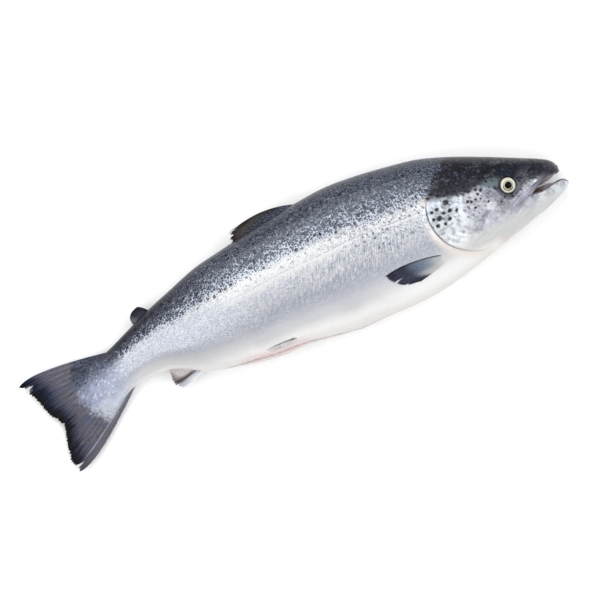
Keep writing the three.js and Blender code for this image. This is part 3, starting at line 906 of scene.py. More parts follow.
# %% The scale effect
SCALE_SIZE = {"Length": 0.031, "Width": 0.026}
scales, w, given = new_group(
    "overlapping scales",
    [("Place", "vector"), ("Length", "value"), ("Width", "value")],
    [("Height", "value"), ("Edge", "value"), ("Random", "value")],
)
x, y, _ = w.parts(given["Place"])
x, y = w.calc("DIVIDE", x, given["Length"]), w.calc("DIVIDE", y, given["Width"])
column = w.calc("FLOOR", x)


def scale_shape(column):
    """How far the free edge of this column's scale bulges here, and which scale it is."""
    shift = w.times(w.calc("MODULO", w.calc("ABSOLUTE", column), 2.0), 0.5)
    moved = w.calc("ADD", y, shift)
    local = w.calc("SUBTRACT", w.calc("FRACT", moved), 0.5)
    bulge = w.calc("SUBTRACT", 0.4, w.times(local, local, 1.6))
    return bulge, w.calc("FLOOR", moved)


ahead = w.calc("SUBTRACT", column, 1.0)
bulge_ahead, _ = scale_shape(ahead)
covered = w.calc("LESS_THAN", w.calc("SUBTRACT", x, column), bulge_ahead)
mine = w.calc("SUBTRACT", column, covered)
above = w.calc("SUBTRACT", mine, 1.0)
bulge_above, _ = scale_shape(above)
_, row_mine = scale_shape(mine)
seen = w.calc("SUBTRACT", w.calc("SUBTRACT", x, mine), bulge_above)
pick = w.add("TexWhiteNoise", {"Vector": w.join(mine, row_mine)}, noise_dimensions="2D").outputs[0]
# Edge marks the painted shadow under the free edge of the scale ahead.
w.send(Height=seen, Edge=w.step(seen, 0.05, 0.5, 1.0, 0.0), Random=pick)
print(scales.name, "made of", len(scales.nodes), "nodes")

# %% [markdown]
# ## The spot effect
# A salmon has dark spots of uneven size, scattered without order. Cells with a random
# middle each get one spot or none. A second random number sets its size, and a noise
# bends the cells a little, so that the spots aren't perfect discs.

# %% The spot effect
spots, w, given = new_group(
    "scattered spots",
    [("Place", "vector"), ("Size", "value"), ("Chance", "value"), ("Softness", "value")],
    [("Mask", "value")],
)
wobble = w.add("TexNoise", {"Vector": given["Place"], "Scale": 60.0, "Detail": 2.0}).outputs[1]
moved = w.move(given["Place"], w.stretch(wobble, 0.02, 0.02, 0.0))
cell_count = w.calc("DIVIDE", 1.0, given["Size"])
cells = w.add("TexVoronoi", {"Vector": moved, "Scale": cell_count, "Randomness": 0.8},
              voronoi_dimensions="2D")
lot = w.add("SeparateColor", {0: cells.outputs[1]}).outputs
radius = w.calc("MULTIPLY_ADD", lot[1], 0.14, 0.14)
near = w.calc("SUBTRACT", radius, cells.outputs[0])
inside = w.step(near, w.calc("MULTIPLY", given["Softness"], -1.0), given["Softness"])
w.send(Mask=w.times(inside, w.calc("LESS_THAN", lot[0], given["Chance"])))
print(spots.name, "made of", len(spots.nodes), "nodes")

# %% [markdown]
# ## The fin ray effect
# The rays of a fin are ridges with thin skin between them, and each ray forks on its
# way out. Two cosines across the fan give the ridges, one with twice as many for the
# forked part. A noise stretched along the rays gives the streaks of colour.

# %% The fin ray effect
rays, w, given = new_group(
    "fin rays",
    [("Fan", "vector"), ("Count", "value")],
    [("Ridge", "value"), ("Streak", "value")],
)
across, along, _ = w.parts(given["Fan"])
turns = w.times(across, given["Count"], 2 * math.pi)
single, double = w.calc("COSINE", turns), w.calc("COSINE", w.times(turns, 2.0))
fork = w.step(along, 0.45, 0.7)
ridge = w.add("Mix", {0: fork, 2: single, 3: double}, data_type="FLOAT").outputs[0]
streaks = w.noise(w.join(w.times(across, given["Count"], 2.0), w.times(along, 3.0)), 1.0, 4.0, 0.7)
w.send(Ridge=w.calc("MULTIPLY_ADD", ridge, 0.5, 0.5), Streak=streaks)
print(rays.name, "made of", len(rays.nodes), "nodes")

# %% [markdown]
# ## The fin skin effect
# All fins share the same wet, grainy skin over their rays. The effect takes a fin's own
# colour and returns it with darker skin between the rays and a fine grain, along with
# the height and the roughness that belong to it.

# %% The fin skin effect
fin_skin, w, given = new_group(
    "fin skin",
    [("Place", "vector"), ("Colour", "colour"), ("Ridge", "value"), ("Ray Tone", "colour"),
     ("Ray Strength", "value"), ("Roughness", "value")],
    [("Colour", "colour"), ("Height", "value"), ("Roughness", "value")],
)
between = w.times(w.calc("SUBTRACT", 1.0, given["Ridge"]), given["Ray Strength"])
colour = w.glaze(given["Colour"], given["Ray Tone"], between)
grain = w.noise(given["Place"], 18.0, 4.0, 0.65)
colour = w.blend(0.16, colour, w.ramp(grain, [(0.3, tone(40, 45, 58)), (0.7, tone(225, 228, 238))]),
                 "OVERLAY")
w.send(Colour=colour)
w.send(Height=w.calc("ADD", given["Ridge"], w.times(grain, 0.5)))
w.send(Roughness=w.calc("MULTIPLY_ADD", grain, 0.2, given["Roughness"]))
print(fin_skin.name, "made of", len(fin_skin.nodes), "nodes")

# %% [markdown]
# ## The silver patch over the root of the tail
# Silver scales run out over the root of the tail and end in a ragged border. The patch
# lies partly on the trunk and partly on the tail, so it is one effect that both
# materials use. Both read the same side view, so the two halves meet without a seam.

# %% The silver patch over the root of the tail
tail_root, w, given = new_group(
    "tail root",
    [("Side", "vector"), ("Scale Edge", "value"), ("Scale Random", "value")],
    [("Colour", "colour"), ("Reach", "value")],
)
far, high, _ = w.parts(given["Side"])
ragged = w.noise(given["Side"], 16.0, 4.0, 0.65)
level = w.calc("ADD", high, w.times(w.calc("SUBTRACT", far, 6.0), 0.17))
level = w.calc("ADD", level, w.sway(given["Scale Random"], 0.09))
colour = w.ramp(level,
                [(0.0, tone(208, 213, 220)), (0.2, tone(194, 199, 214)), (0.35, tone(170, 176, 198)),
                 (0.5, tone(160, 167, 190)), (0.57, tone(134, 142, 162)), (0.65, tone(98, 103, 118)),
                 (0.72, tone(76, 79, 88)), (0.82, tone(66, 68, 76))])
patchy = w.step(w.noise(given["Side"], 9.0, 3.0, 0.6), 0.35, 0.65)
colour = w.glaze(colour, tone(120, 128, 156), patchy, w.step(far, 6.1, 6.4), w.step(high, 0.1, 0.3), 0.45)
# Painted shadow under the free edges of the scales.
colour = w.glaze(colour, tone(84, 88, 108), given["Scale Edge"], w.calc("MULTIPLY_ADD", patchy, 0.4, 0.1))
fleck = w.times(w.step(w.noise(given["Side"], 40.0, 2.0, 0.6), 0.5, 0.62), w.step(high, 0.36, 0.52), 0.75)
colour = w.glaze(colour, tone(50, 52, 64), fleck)
# Painted glints on random scales of the silver patch.
bright = w.times(w.step(given["Scale Random"], 0.7, 1.0), w.step(level, 0.7, 0.56), 0.5)
colour = w.glaze(colour, tone(222, 226, 240), bright)
w.send(Colour=colour)
bend = w.calc("SUBTRACT", high, 0.45)
edge = w.calc("ADD", far, w.times(bend, bend, 0.95))
w.send(Reach=w.calc("ADD", edge, w.sway(ragged, 0.4)))
print("effects:", [g.name for g in bpy.data.node_groups])

# %% [markdown]
# ## The places the skin is painted by
# The paint has to know where it is on the fish: how far back, how high, on the head or
# not, and on which scale. These values come from the maps and the regions made with
# the trunk. Two noises in solid space, a wide one and a fine one, break up everything
# that would look too even, and have no seam anywhere.

# %% Start the skin material
def open_material(material):
    """The wires of a material, and its shader's own sockets."""
    tree = material.node_tree
    shader = tree.nodes["Principled BSDF"]
    return Wires(tree, shader.inputs), shader.inputs


def set_gloss(shader, **values):
    """Values that are the same all over, set on the shader's own sockets."""
    for socket, value in values.items():
        shader[socket.replace("_", " ")].default_value = value


def silver_root(w, side_view, lattice):
    """The silver patch effect, placed in one material."""
    inputs = {"Side": side_view, "Scale Edge": lattice["Edge"], "Scale Random": lattice["Random"]}
    return w.use(tail_root, inputs)


w, shader = open_material(skin_finish)
_, depth, _ = w.parts(w.chart("Flank"))
side_view = w.chart("Side")
far, high, _ = w.parts(side_view)
lattice_place = w.chart("Scales")
painted = w.add("Attribute", attribute_name="Regions").outputs
mask = w.add("SeparateColor", {0: painted["Color"]}).outputs
head, crown, plate, lip_share = mask[0], mask[1], mask[2], painted["Alpha"]
bend = w.add("TexNoise", {"Vector": lattice_place, "Scale": 3.5, "Detail": 1.0}).outputs[1]
bent_place = w.move(lattice_place, w.stretch(bend, 0.03, 0.02))
lattice = w.use(scales, {"Place": bent_place, **SCALE_SIZE})
scaly = w.calc("SUBTRACT", 1.0, head)
in_metres = w.add("TexCoord").outputs["Object"]
solid_place = w.stretch(in_metres, 10.0, 10.0, 10.0)
cloud = w.noise(solid_place, 3.0, 4.0)
grain = w.noise(solid_place, 26.0, 3.0, 0.6)
print("one scale is", SCALE_SIZE["Length"] * 100, "by", SCALE_SIZE["Width"] * 100, "mm")

# %% [markdown]
# ## The flank from belly to back
# From belly to back the flank goes from cream white over silvery lilac to a bright band and then to dark
# slate. The bright band is a painted highlight, and the long lamp above the back adds a real one over it. A
# colour ramp on the share of the depth gives that. The borders are broken up fleck by fleck, because a fleck
# of skin is either still silver or already dark.

# %% The flank from belly to back
# The white stop at 0.64 is the painted highlight band.
SILVER_TONES = [
    (0.0, tone(234, 231, 228)), (0.08, tone(246, 245, 244)), (0.16, tone(212, 212, 214)),
    (0.25, tone(182, 184, 191)), (0.33, tone(178, 181, 190)), (0.42, tone(204, 206, 213)),
    (0.50, tone(212, 215, 223)), (0.57, tone(234, 237, 241)), (0.64, tone(255, 255, 255)),
    (0.70, tone(216, 221, 232)), (0.76, tone(200, 207, 220)), (0.81, tone(186, 193, 208)),
    (0.87, tone(180, 187, 202)), (0.93, tone(150, 156, 170)), (1.0, tone(90, 95, 108)),
]
DARK_TONES = [(0.55, tone(124, 130, 146)), (0.7, tone(86, 92, 108)), (0.8, tone(64, 70, 85)),
              (0.92, tone(60, 65, 78)), (1.0, tone(54, 57, 68))]
DARK_SHARE = [(0.48, grey(0.0)), (0.56, grey(0.08)), (0.65, grey(0.17)), (0.70, grey(0.42)),
              (0.75, grey(0.66)), (0.80, grey(0.75)), (0.87, grey(0.85)), (0.93, grey(0.86)),
              (1.0, grey(0.88))]
rear = w.step(far, 4.5, 5.6)
rear_shift = w.times(rear, w.step(depth, 0.75, 0.5, 0.046, 0.06), w.step(depth, 0.1, 0.3))
front_shift = w.times(w.step(far, 4.4, 2.4), w.step(depth, 0.6, 0.68), 0.026)
up_shift = w.calc("ADD", rear_shift, front_shift)
uneven = w.sway(cloud, 0.07)
wide_band = w.times(w.step(far, 2.6, 3.4), w.step(far, 4.9, 4.3), w.step(depth, 0.74, 0.7), 0.014)
level = w.calc("ADD", w.calc("ADD", depth, up_shift), w.calc("SUBTRACT", uneven, wide_band))
silver_colour = w.ramp(level, SILVER_TONES)
rear_lilac = w.times(rear, w.step(depth, 0.26, 0.38), w.step(depth, 0.72, 0.6), 0.6)
lilac = w.ramp(depth, [(0.35, tone(222, 226, 238)), (0.65, tone(190, 194, 212))])
silver_colour = w.glaze(silver_colour, lilac, rear_lilac)
flecks = w.add("TexVoronoi", {"Vector": w.stretch(bent_place, 1.0, 1.15), "Scale": 30.0, "Randomness": 0.95},
               voronoi_dimensions="2D")
from_middle = w.step(flecks.outputs[0], 0.05, 0.62)
lot = w.add("SeparateColor", {0: flecks.outputs[1]}).outputs[0]
pick = w.calc("ADD", w.times(lot, 0.42), w.times(from_middle, 0.58))
share = w.ramp(level, DARK_SHARE)
dark = w.step(w.calc("SUBTRACT", share, pick), -0.05, 0.05)
flank_colour = w.glaze(silver_colour, w.ramp(level, DARK_TONES), dark)
print("flank painted from belly to back,", len(w.tree.nodes), "nodes so far")

# %% [markdown]
# ## Salt and mottle on the back
# The dark back isn't even. Small light and dark grains lie on it like salt and pepper, and the light ones are
# painted glints where single scales mirror the light. Larger mottles stand behind the head, and towards the
# tail the back turns nearly black. Each is a noise cut to a mask and laid on as a glaze.

# %% Salt and mottle on the back
salt = w.noise(lattice_place, 85.0, 0.0)
on_back = w.step(depth, 0.6, 0.72)
# Light grains on the back: painted glints of single scales.
salt_glints = w.times(w.step(salt, 0.56, 0.7), on_back, w.step(depth, 0.97, 0.85, 0.6, 1.0), 0.42)
flank_colour = w.glaze(flank_colour, tone(206, 212, 224), salt_glints)
flank_colour = w.glaze(flank_colour, tone(50, 55, 68), w.step(salt, 0.44, 0.3), on_back, 0.5)
mottle = w.noise(lattice_place, 25.0, 2.0, 0.6)
front_back = w.times(w.step(far, 4.2, 3.2), w.step(depth, 0.64, 0.74), w.step(depth, 0.97, 0.9, 0.2, 1.0))
flank_colour = w.glaze(flank_colour, tone(166, 182, 200), w.step(mottle, 0.56, 0.64), front_back, 0.3)
flank_colour = w.glaze(flank_colour, tone(40, 45, 60), w.step(mottle, 0.47, 0.39), front_back, 0.6)
rear_back = w.times(rear, w.step(depth, 0.76, 0.92), 0.75)
flank_colour = w.glaze(flank_colour, tone(48, 47, 54), rear_back)
dark_back = w.times(w.step(far, 3.9, 3.3), w.step(depth, 0.8, 0.86), w.step(depth, 0.93, 0.88), 0.3)
flank_colour = w.glaze(flank_colour, tone(54, 60, 72), dark_back)
print("back salted and mottled,", len(w.tree.nodes), "nodes so far")

# %% [markdown]
# ## Belly, rear and cut
# The belly is white in front, and towards the tail it is painted greyer, as shade on the underside of the
# narrow rear of the body. The rear of the flank has a lilac cast. Beside the open cut, the water and blood of
# the gutting have left a pink blush, which fades with the distance from the slit.

# %% Belly, rear and cut
front_belly = w.times(w.step(far, 2.9, 2.2), w.step(depth, 0.2, 0.1), w.step(depth, 0.0, 0.07))
flank_colour = w.glaze(flank_colour, tone(254, 254, 254), front_belly, 0.6)
# Painted shade on the belly towards the tail.
rear_belly_painted_shade = w.times(w.step(far, 4.3, 5.4), w.step(depth, 0.02, 0.1), w.step(depth, 0.28, 0.18), 0.6)
flank_colour = w.glaze(flank_colour, tone(190, 191, 194), rear_belly_painted_shade)
rear_middle = w.times(w.step(far, 4.3, 5.0), w.step(depth, 0.34, 0.44), w.step(depth, 0.68, 0.6),
                      w.step(far, 5.7, 5.2, 0.3, 1.0), 0.7)
flank_colour = w.glaze(flank_colour, tone(196, 200, 214), rear_middle)
_, _, above_floor = w.parts(in_metres)
from_cut = w.calc("ABSOLUTE", w.calc("ADD", above_floor, w.calc("MULTIPLY_ADD", far, 0.011, -0.0905)))
by_the_cut = w.times(w.step(far, 3.65, 4.05), w.step(far, 4.85, 4.4), w.step(depth, 0.12, 0.03),
                     w.step(from_cut, 0.017, 0.004))
smear = w.step(w.noise(w.stretch(lattice_place, 1.0, 1.8), 9.0, 3.0, 0.6), 0.35, 0.6, 0.4, 1.0)
flank_colour = w.glaze(flank_colour, tone(226, 194, 193), by_the_cut, smear, 0.72)
print("belly, rear and cut shaded,", len(w.tree.nodes), "nodes so far")

# %% [markdown]
# ## Scale lines and bright scales
# On the silver flank each scale shows its edge as a thin grey line, which is painted shadow under the free
# edge of the scale ahead. Some scales mirror the light and some don't, so each one also gets a painted glint
# or a painted dimness from its own random number. A painted shade band lies low on the flank, and the painted
# highlight band is laid on once more. Slanted rows in front and a fine salt behind follow the way the scales
# lie.

# %% Scale lines and bright scales
# Painted shade in a band low on the flank.
low_painted_shade = w.times(w.step(far, 2.5, 3.1), w.step(far, 4.7, 4.2), w.step(depth, 0.1, 0.18),
                    w.step(depth, 0.44, 0.34))
flank_colour = w.glaze(flank_colour, tone(150, 153, 163), low_painted_shade, 0.26)
# Where the painted highlight band lies, the silver flecks are held back.
highlight_band_mask = w.times(w.step(depth, 0.52, 0.58), w.step(far, 2.6, 3.2), w.step(far, 5.0, 4.4), 0.65)
on_silver = w.times(w.step(depth, 0.2, 0.36), w.step(depth, 0.72, 0.64), scaly,
                    w.calc("SUBTRACT", 1.0, highlight_band_mask))
# Painted highlight band along the flank.
painted_highlight_band = w.times(w.step(depth, 0.49, 0.57), w.step(depth, 0.71, 0.65), w.step(far, 2.6, 3.2),
                      w.step(far, 4.8, 4.1), 0.6)
flank_colour = w.glaze(flank_colour, tone(251, 251, 250), painted_highlight_band)
silver_zone = w.times(w.step(depth, 0.2, 0.34), w.step(depth, 0.74, 0.6), w.step(far, 1.8, 2.4, 0.5, 1.0))
front_zone = w.step(far, 4.2, 2.2, 0.45, 1.0)
worn_lines = w.step(w.noise(lattice_place, 7.0, 3.0, 0.6), 0.3, 0.65, 0.45, 1.0)
# Thin lines of painted shadow under the free edges of the scales.
edge_shadow = w.times(lattice["Edge"], w.calc("MULTIPLY_ADD", w.times(silver_zone, front_zone), 0.5, 0.06),
                    scaly, worn_lines, w.step(lattice["Random"], 0.1, 0.8, 0.15, 1.0))
flank_colour = w.glaze(flank_colour, tone(88, 93, 108), edge_shadow)
# Painted glints on some scales and painted dimness on others.
painted_glint_scale = w.times(w.step(lattice["Random"], 0.5, 1.0), on_silver, w.step(depth, 0.36, 0.5, 0.2, 0.5))
flank_colour = w.glaze(flank_colour, tone(244, 246, 251), painted_glint_scale)
painted_dim_scale = w.times(w.step(lattice["Random"], 0.5, 0.0), on_silver, 0.42)
flank_colour = w.glaze(flank_colour, tone(150, 156, 174), painted_dim_scale)
row_across = w.calc("ADD", w.times(far, 0.891), w.times(high, 0.454))
row_along = w.calc("SUBTRACT", w.times(high, 0.891), w.times(far, 0.454))
rows = w.noise(w.join(w.times(row_across, 56.0), w.times(row_along, 8.0)), 1.0, 2.0, 0.6)
in_front = w.times(w.step(far, 4.4, 2.9, 0.2, 1.0), w.step(far, 1.8, 2.4, 0.3, 1.0),
                   w.step(depth, 0.28, 0.42))
flank_colour = w.glaze(flank_colour, tone(128, 134, 150), w.step(rows, 0.5, 0.36), on_silver, in_front, 0.5)
flank_colour = w.glaze(flank_colour, tone(252, 252, 254), w.step(rows, 0.5, 0.64), on_silver, in_front, 0.5)
behind = w.step(far, 3.6, 4.6, 0.35, 1.0)
flank_colour = w.glaze(flank_colour, tone(138, 144, 166), w.step(salt, 0.5, 0.36), on_silver, behind, 0.5)
flank_colour = w.glaze(flank_colour, tone(246, 248, 254), w.step(salt, 0.5, 0.66), on_silver, behind, 0.45)
print("scales drawn,", len(w.tree.nodes), "nodes so far")

# %% [markdown]
# ## Freckles, lateral line and gill slit
# Behind the gill cover small freckles are sprinkled on the silver. The lateral line, a row of pores that
# feels pressure, runs along the middle of the flank as a thin broken line with a pale rim. The shoulder is
# pale behind the slit of the gills, and the slit is a line of painted shade under the rim of the gill cover.

# %% Freckles, lateral line and gill slit
near_gill = w.times(w.step(far, 3.0, 2.0), w.step(depth, 0.4, 0.5), 0.12)
freckle = w.times(w.step(w.calc("SUBTRACT", pick, near_gill), 0.26, 0.2), w.step(depth, 0.36, 0.46),
                  w.step(far, 4.0, 2.4))
flank_colour = w.glaze(flank_colour, tone(108, 116, 136), freckle, 0.55)
from_line = w.calc("SUBTRACT", depth, 0.594)
under_line = w.times(w.step(from_line, -0.03, -0.012), w.step(from_line, -0.002, -0.008),
                     w.step(far, 4.6, 3.0), scaly)
flank_colour = w.glaze(flank_colour, tone(250, 251, 252), under_line, 0.5)
lateral = w.times(w.step(w.calc("ABSOLUTE", from_line), 0.007, 0.002), w.step(grain, 0.44, 0.54, 0.1, 1.0),
                  scaly)
flank_colour = w.glaze(flank_colour, tone(124, 131, 148), lateral, w.step(far, 4.6, 3.0, 0.25, 0.42))
around = w.distance(side_view, GILL_COVER["u"] / 100, GILL_COVER["v"] / 100)
behind_gill = w.times(w.step(high, 0.62, 0.5), w.step(far, 1.12, 1.4))
shoulder = w.times(w.step(around, 0.72, 0.62), w.step(high, 0.4, 0.15), behind_gill)
flank_colour = w.glaze(flank_colour, tone(240, 231, 225), shoulder, 0.8)
corner = w.distance(side_view, 1.71, 0.6)
flank_colour = w.glaze(flank_colour, tone(228, 223, 208), w.step(corner, 0.085, 0.03, 0.0, 0.7))
# Painted shade in the slit under the rim of the gill cover.
gill_slit_shade = w.times(w.step(around, 0.6, 0.588), behind_gill, w.step(high, -0.22, 0.1, 0.2, 1.0))
flank_colour = w.glaze(flank_colour, tone(66, 62, 74), gill_slit_shade, 0.85)
print("lateral line drawn,", len(w.tree.nodes), "nodes so far")

# %% [markdown]
# ## Dark spots on the back
# Larger dark spots lie above the lateral line, many on the back and a few lower down
# behind the head. The spot effect is used twice, with different sizes and chances.

# %% Dark spots on the back
back_spots = w.use(spots, {"Place": lattice_place, "Size": 0.09, "Chance": 0.5, "Softness": 0.07})
squeezed = w.stretch(lattice_place, 1.1, 1.0)
few_spots = w.use(spots, {"Place": squeezed, "Size": 0.07, "Chance": 0.36, "Softness": 0.08})
spot_mask = w.calc("MAXIMUM", w.times(back_spots["Mask"], w.step(depth, 0.6, 0.68)),
                   w.times(few_spots["Mask"], w.step(depth, 0.4, 0.5), w.step(far, 3.4, 2.4), 0.8))
flank_colour = w.glaze(flank_colour, tone(36, 40, 52), spot_mask, 0.8)
print("back spotted,", len(w.tree.nodes), "nodes so far")

# %% [markdown]
# ## The cheek and the gill cover
# The head has no scales. The cheek is marbled in greys, and the gill cover is a pale, nearly white plate with
# a blue sheen. Ramps over the height give the base tones. Soft oval patches are painted shade in the hollows
# and painted highlights on the bumps that the photograph shows.

# %% The cheek and the gill cover
RIPPLE = 0.028
ripple = w.add("TexNoise", {"Vector": side_view, "Scale": 45.0, "Detail": 2.0}).outputs[1]
rippled = w.move(side_view, w.stretch(ripple, RIPPLE, RIPPLE))


def patch(u, v, wide, tall, soft=0.35):
    """A soft oval mask with a ragged edge round one place of the side view."""
    to_centre = (-u / 100 - RIPPLE / 2, -v / 100 - RIPPLE / 2, 0.0)
    scaled = w.stretch(w.move(rippled, to_centre), 100 / wide, 100 / tall)
    return w.step(w.distance(scaled, 0.0, 0.0), 1 + soft, 1 - soft)


height_on_head = w.calc("ADD", w.calc("MULTIPLY_ADD", high, 1.0, 0.4), w.sway(cloud, 0.22))
head_colour = w.ramp(height_on_head,
                     [(0.1, tone(218, 216, 213)), (0.3, tone(208, 210, 212)), (0.4, tone(206, 208, 214)),
                      (0.5, tone(178, 180, 190)), (0.6, tone(146, 148, 157)), (0.72, tone(126, 128, 137)),
                      (0.9, tone(96, 99, 107))])
plate_colour = w.ramp(w.calc("MULTIPLY_ADD", high, 1.0, 0.4), [
    (0.12, tone(214, 208, 203)), (0.25, tone(212, 213, 212)), (0.42, tone(226, 231, 235)),
    (0.7, tone(234, 241, 246)), (0.92, tone(196, 206, 216))])
front_cheek = w.calc("SUBTRACT", w.step(far, 0.92, 1.08), w.step(high, 0.02, -0.12))
head_colour = w.glaze(head_colour, tone(196, 198, 208), w.calc("MAXIMUM", front_cheek, 0.0), 0.8)
head_colour = w.glaze(head_colour, plate_colour, plate)
marble = w.step(w.noise(solid_place, 10.0, 4.0, 0.62), 0.42, 0.62)
fine_marble = w.step(grain, 0.38, 0.66)
cheek_zone = w.times(w.step(high, -0.12, 0.06), w.step(high, 0.6, 0.45))
head_colour = w.glaze(head_colour, tone(110, 112, 130), marble, cheek_zone, 0.68)
head_colour = w.glaze(head_colour, tone(244, 247, 252), fine_marble, cheek_zone, 0.4)
CHEEK_SHADE_AND_HIGHLIGHTS = [
    # behind the jaw tip, height, half width, half height, colour of the painted shade or highlight
    (84, 20, 10, 7, (92, 94, 100)), (95, 31, 15, 7, (122, 124, 136)), (50, 21, 10, 6, (124, 124, 134)),
    (82, 9, 8, 6, (126, 126, 130)), (128, 0, 7, 4, (150, 150, 160)), (101, 18, 8, 5, (246, 248, 252)),
    (135, 12, 6, 8, (243, 246, 251)), (136, 27, 4, 9, (232, 238, 246)),
]
# Painted shade in the hollows of the cheek and painted highlights on its bumps.
for u, v, wide, tall, shade in CHEEK_SHADE_AND_HIGHLIGHTS:
    head_colour = w.glaze(head_colour, tone(*shade), patch(u, v, wide, tall, 0.6), 0.6)
print(len(CHEEK_SHADE_AND_HIGHLIGHTS), "patches shade the cheek")

# %% [markdown]
# ## The crown
# The top of the head is nearly black, and paler where it bends down to the cheek. Its
# border is rough, so a noise is added to the mask before it is cut. Three patches tint
# the temple, the brow and the place of the nostrils.

# %% The crown
crown_colour = w.ramp(w.calc("MULTIPLY_ADD", fine_marble, 0.5, w.times(marble, 0.5)), [
    (0.0, tone(30, 30, 38)), (0.5, tone(50, 50, 60)), (1.0, tone(88, 90, 99))])
low_crown = w.times(w.step(high, 0.4, 0.2), w.step(far, 0.3, 0.6, 0.25, 1.0))
low_crown = w.calc("MAXIMUM", low_crown, w.times(w.step(high, 0.66, 0.42), w.step(far, 0.86, 1.02), 0.45))
crown_colour = w.glaze(crown_colour, tone(106, 108, 117), low_crown, w.step(grain, 0.62, 0.4, 0.25, 0.9))
rough_edge = w.sway(w.noise(lattice_place, 14.0, 4.0, 0.65), 1.1)
crown_edge = w.step(w.calc("ADD", crown, rough_edge), 0.2, 0.8)
head_colour = w.glaze(head_colour, crown_colour, crown_edge)
head_colour = w.glaze(head_colour, tone(122, 138, 145), patch(90, 43, 13, 7, 0.7), 0.75)
head_colour = w.glaze(head_colour, tone(44, 51, 65), patch(62, 48, 15, 6, 0.6), 0.75)
head_colour = w.glaze(head_colour, tone(84, 86, 95), patch(46, 39, 9, 5, 0.6), 0.55)
print("crown painted,", len(w.tree.nodes), "nodes so far")

# %% [markdown]
# ## Lip plate and throat
# The lip plate is streaked along its length, and so is the skin just below it. To streak
# in a slanted direction, two new axes are made, one across the plate and one along it.
# The throat has faint folds and a pink thin skin at its rear end.

# %% Lip plate and throat
plate_across = w.calc("ADD", w.times(high, 0.917), w.times(far, 0.4))
plate_along = w.calc("SUBTRACT", w.times(far, 0.917), w.times(high, 0.4))
streaks = w.noise(w.join(w.times(plate_across, 36.0), w.times(plate_along, 4.0)), 1.0, 3.0, 0.6)
beside_plate = w.times(w.step(plate_across, 0.24, 0.3), w.step(plate_across, 0.45, 0.36),
                       w.step(far, 0.44, 0.58), w.step(far, 0.9, 0.7))
streak_tone = w.ramp(streaks,
                     [(0.36, tone(112, 110, 124)), (0.5, tone(168, 168, 184)), (0.64, tone(222, 223, 234))])
head_colour = w.glaze(head_colour, streak_tone, beside_plate, 0.7)
lip_colour = w.ramp(w.calc("ADD", w.times(lip_share, 1.6), w.sway(streaks, 1.5)),
                    [(0.05, tone(84, 80, 92)), (0.35, tone(136, 132, 146)), (0.6, tone(172, 171, 187)),
                     (0.85, tone(208, 209, 221))])
# The front of the lip plate is painted darker, as painted shade against the highlight its bump catches.
lip_colour = w.glaze(lip_colour, tone(118, 116, 128), w.step(far, 0.56, 0.32, 0.0, 0.65))
throat_across = w.calc("MULTIPLY_ADD", far, 0.27, w.times(high, 0.96))
throat_lines = w.noise(w.join(w.times(throat_across, 34.0), w.times(far, 2.5)), 1.0, 3.0, 0.6)
on_throat = w.times(w.step(high, 0.0, -0.12), w.step(throat_lines, 0.5, 0.7), 0.4)
head_colour = w.glaze(head_colour, tone(186, 186, 184), on_throat)
membrane = w.times(w.step(high, -0.2, -0.27), w.step(far, 0.86, 1.02), w.step(far, 1.2, 1.08), 0.4)
head_colour = w.glaze(head_colour, tone(228, 206, 200), membrane)
throat_end = w.times(w.step(high, -0.18, -0.27), w.step(far, 1.0, 1.17), 0.9)
head_colour = w.glaze(head_colour, tone(246, 244, 242), throat_end)
print("lip plate and throat painted,", len(w.tree.nodes), "nodes so far")

# %% [markdown]
# ## The spots of the head
# The small spots of the crown come from the spot effect. The large ones on the gill cover catch the eye, so
# each is placed one by one, from a list of places and widths.

# %% The spots of the head
head_spots = w.use(spots, {"Place": lattice_place, "Size": 0.07, "Chance": 0.7, "Softness": 0.08})
on_cheek = w.times(w.step(high, 0.08, 0.2), w.step(high, 0.62, 0.5), 0.55)
spotted = w.times(head_spots["Mask"], w.calc("MAXIMUM", w.times(crown_edge, 0.9), on_cheek))
head_colour = w.glaze(head_colour, tone(22, 22, 28), spotted)
HERO_SPOTS = [
    # behind the jaw tip, height, width of the spot
    (150, 47.8, 7.5), (141.3, 33.5, 4), (149.7, 36.3, 5), (157.8, 37, 5), (163.6, 44.8, 5),
    (170.9, 44.3, 4.5), (165.3, 33.1, 7), (154.2, 27.4, 5), (172.6, 35.4, 4), (171, 26.2, 5),
    (161.5, 24.1, 4.5), (117.7, 46.7, 4), (108.8, 45, 4), (103.2, 42.1, 4), (109.1, 38.8, 3.5),
    (124.5, 36.2, 4), (120.1, 33.9, 3.5), (114.5, 33.9, 3), (108.4, 32.1, 3), (119, 24.9, 3.5),
    (101.1, 24.3, 3), (86.6, 16.9, 3),
]
hero = 0.0
for u, v, wide in HERO_SPOTS:
    hero = w.calc("MAXIMUM", hero, patch(u, v, wide * 0.66, wide * 0.56, 0.3))
head_colour = w.glaze(head_colour, tone(16, 19, 30), hero, 0.96)
head_colour = w.glaze(head_colour, lip_colour, w.step(lip_share, 0.9, 0.6))
print(len(HERO_SPOTS), "spots placed on the head and the gill cover")

# %% [markdown]
# ## Finish the skin
# Now flank, tail root and head are joined by their masks, and the joined colour goes to
# the shader. Silver skin mirrors like metal, but only a little. The scales give a fine
# relief, and wet skin gets a thin clear coat on top.

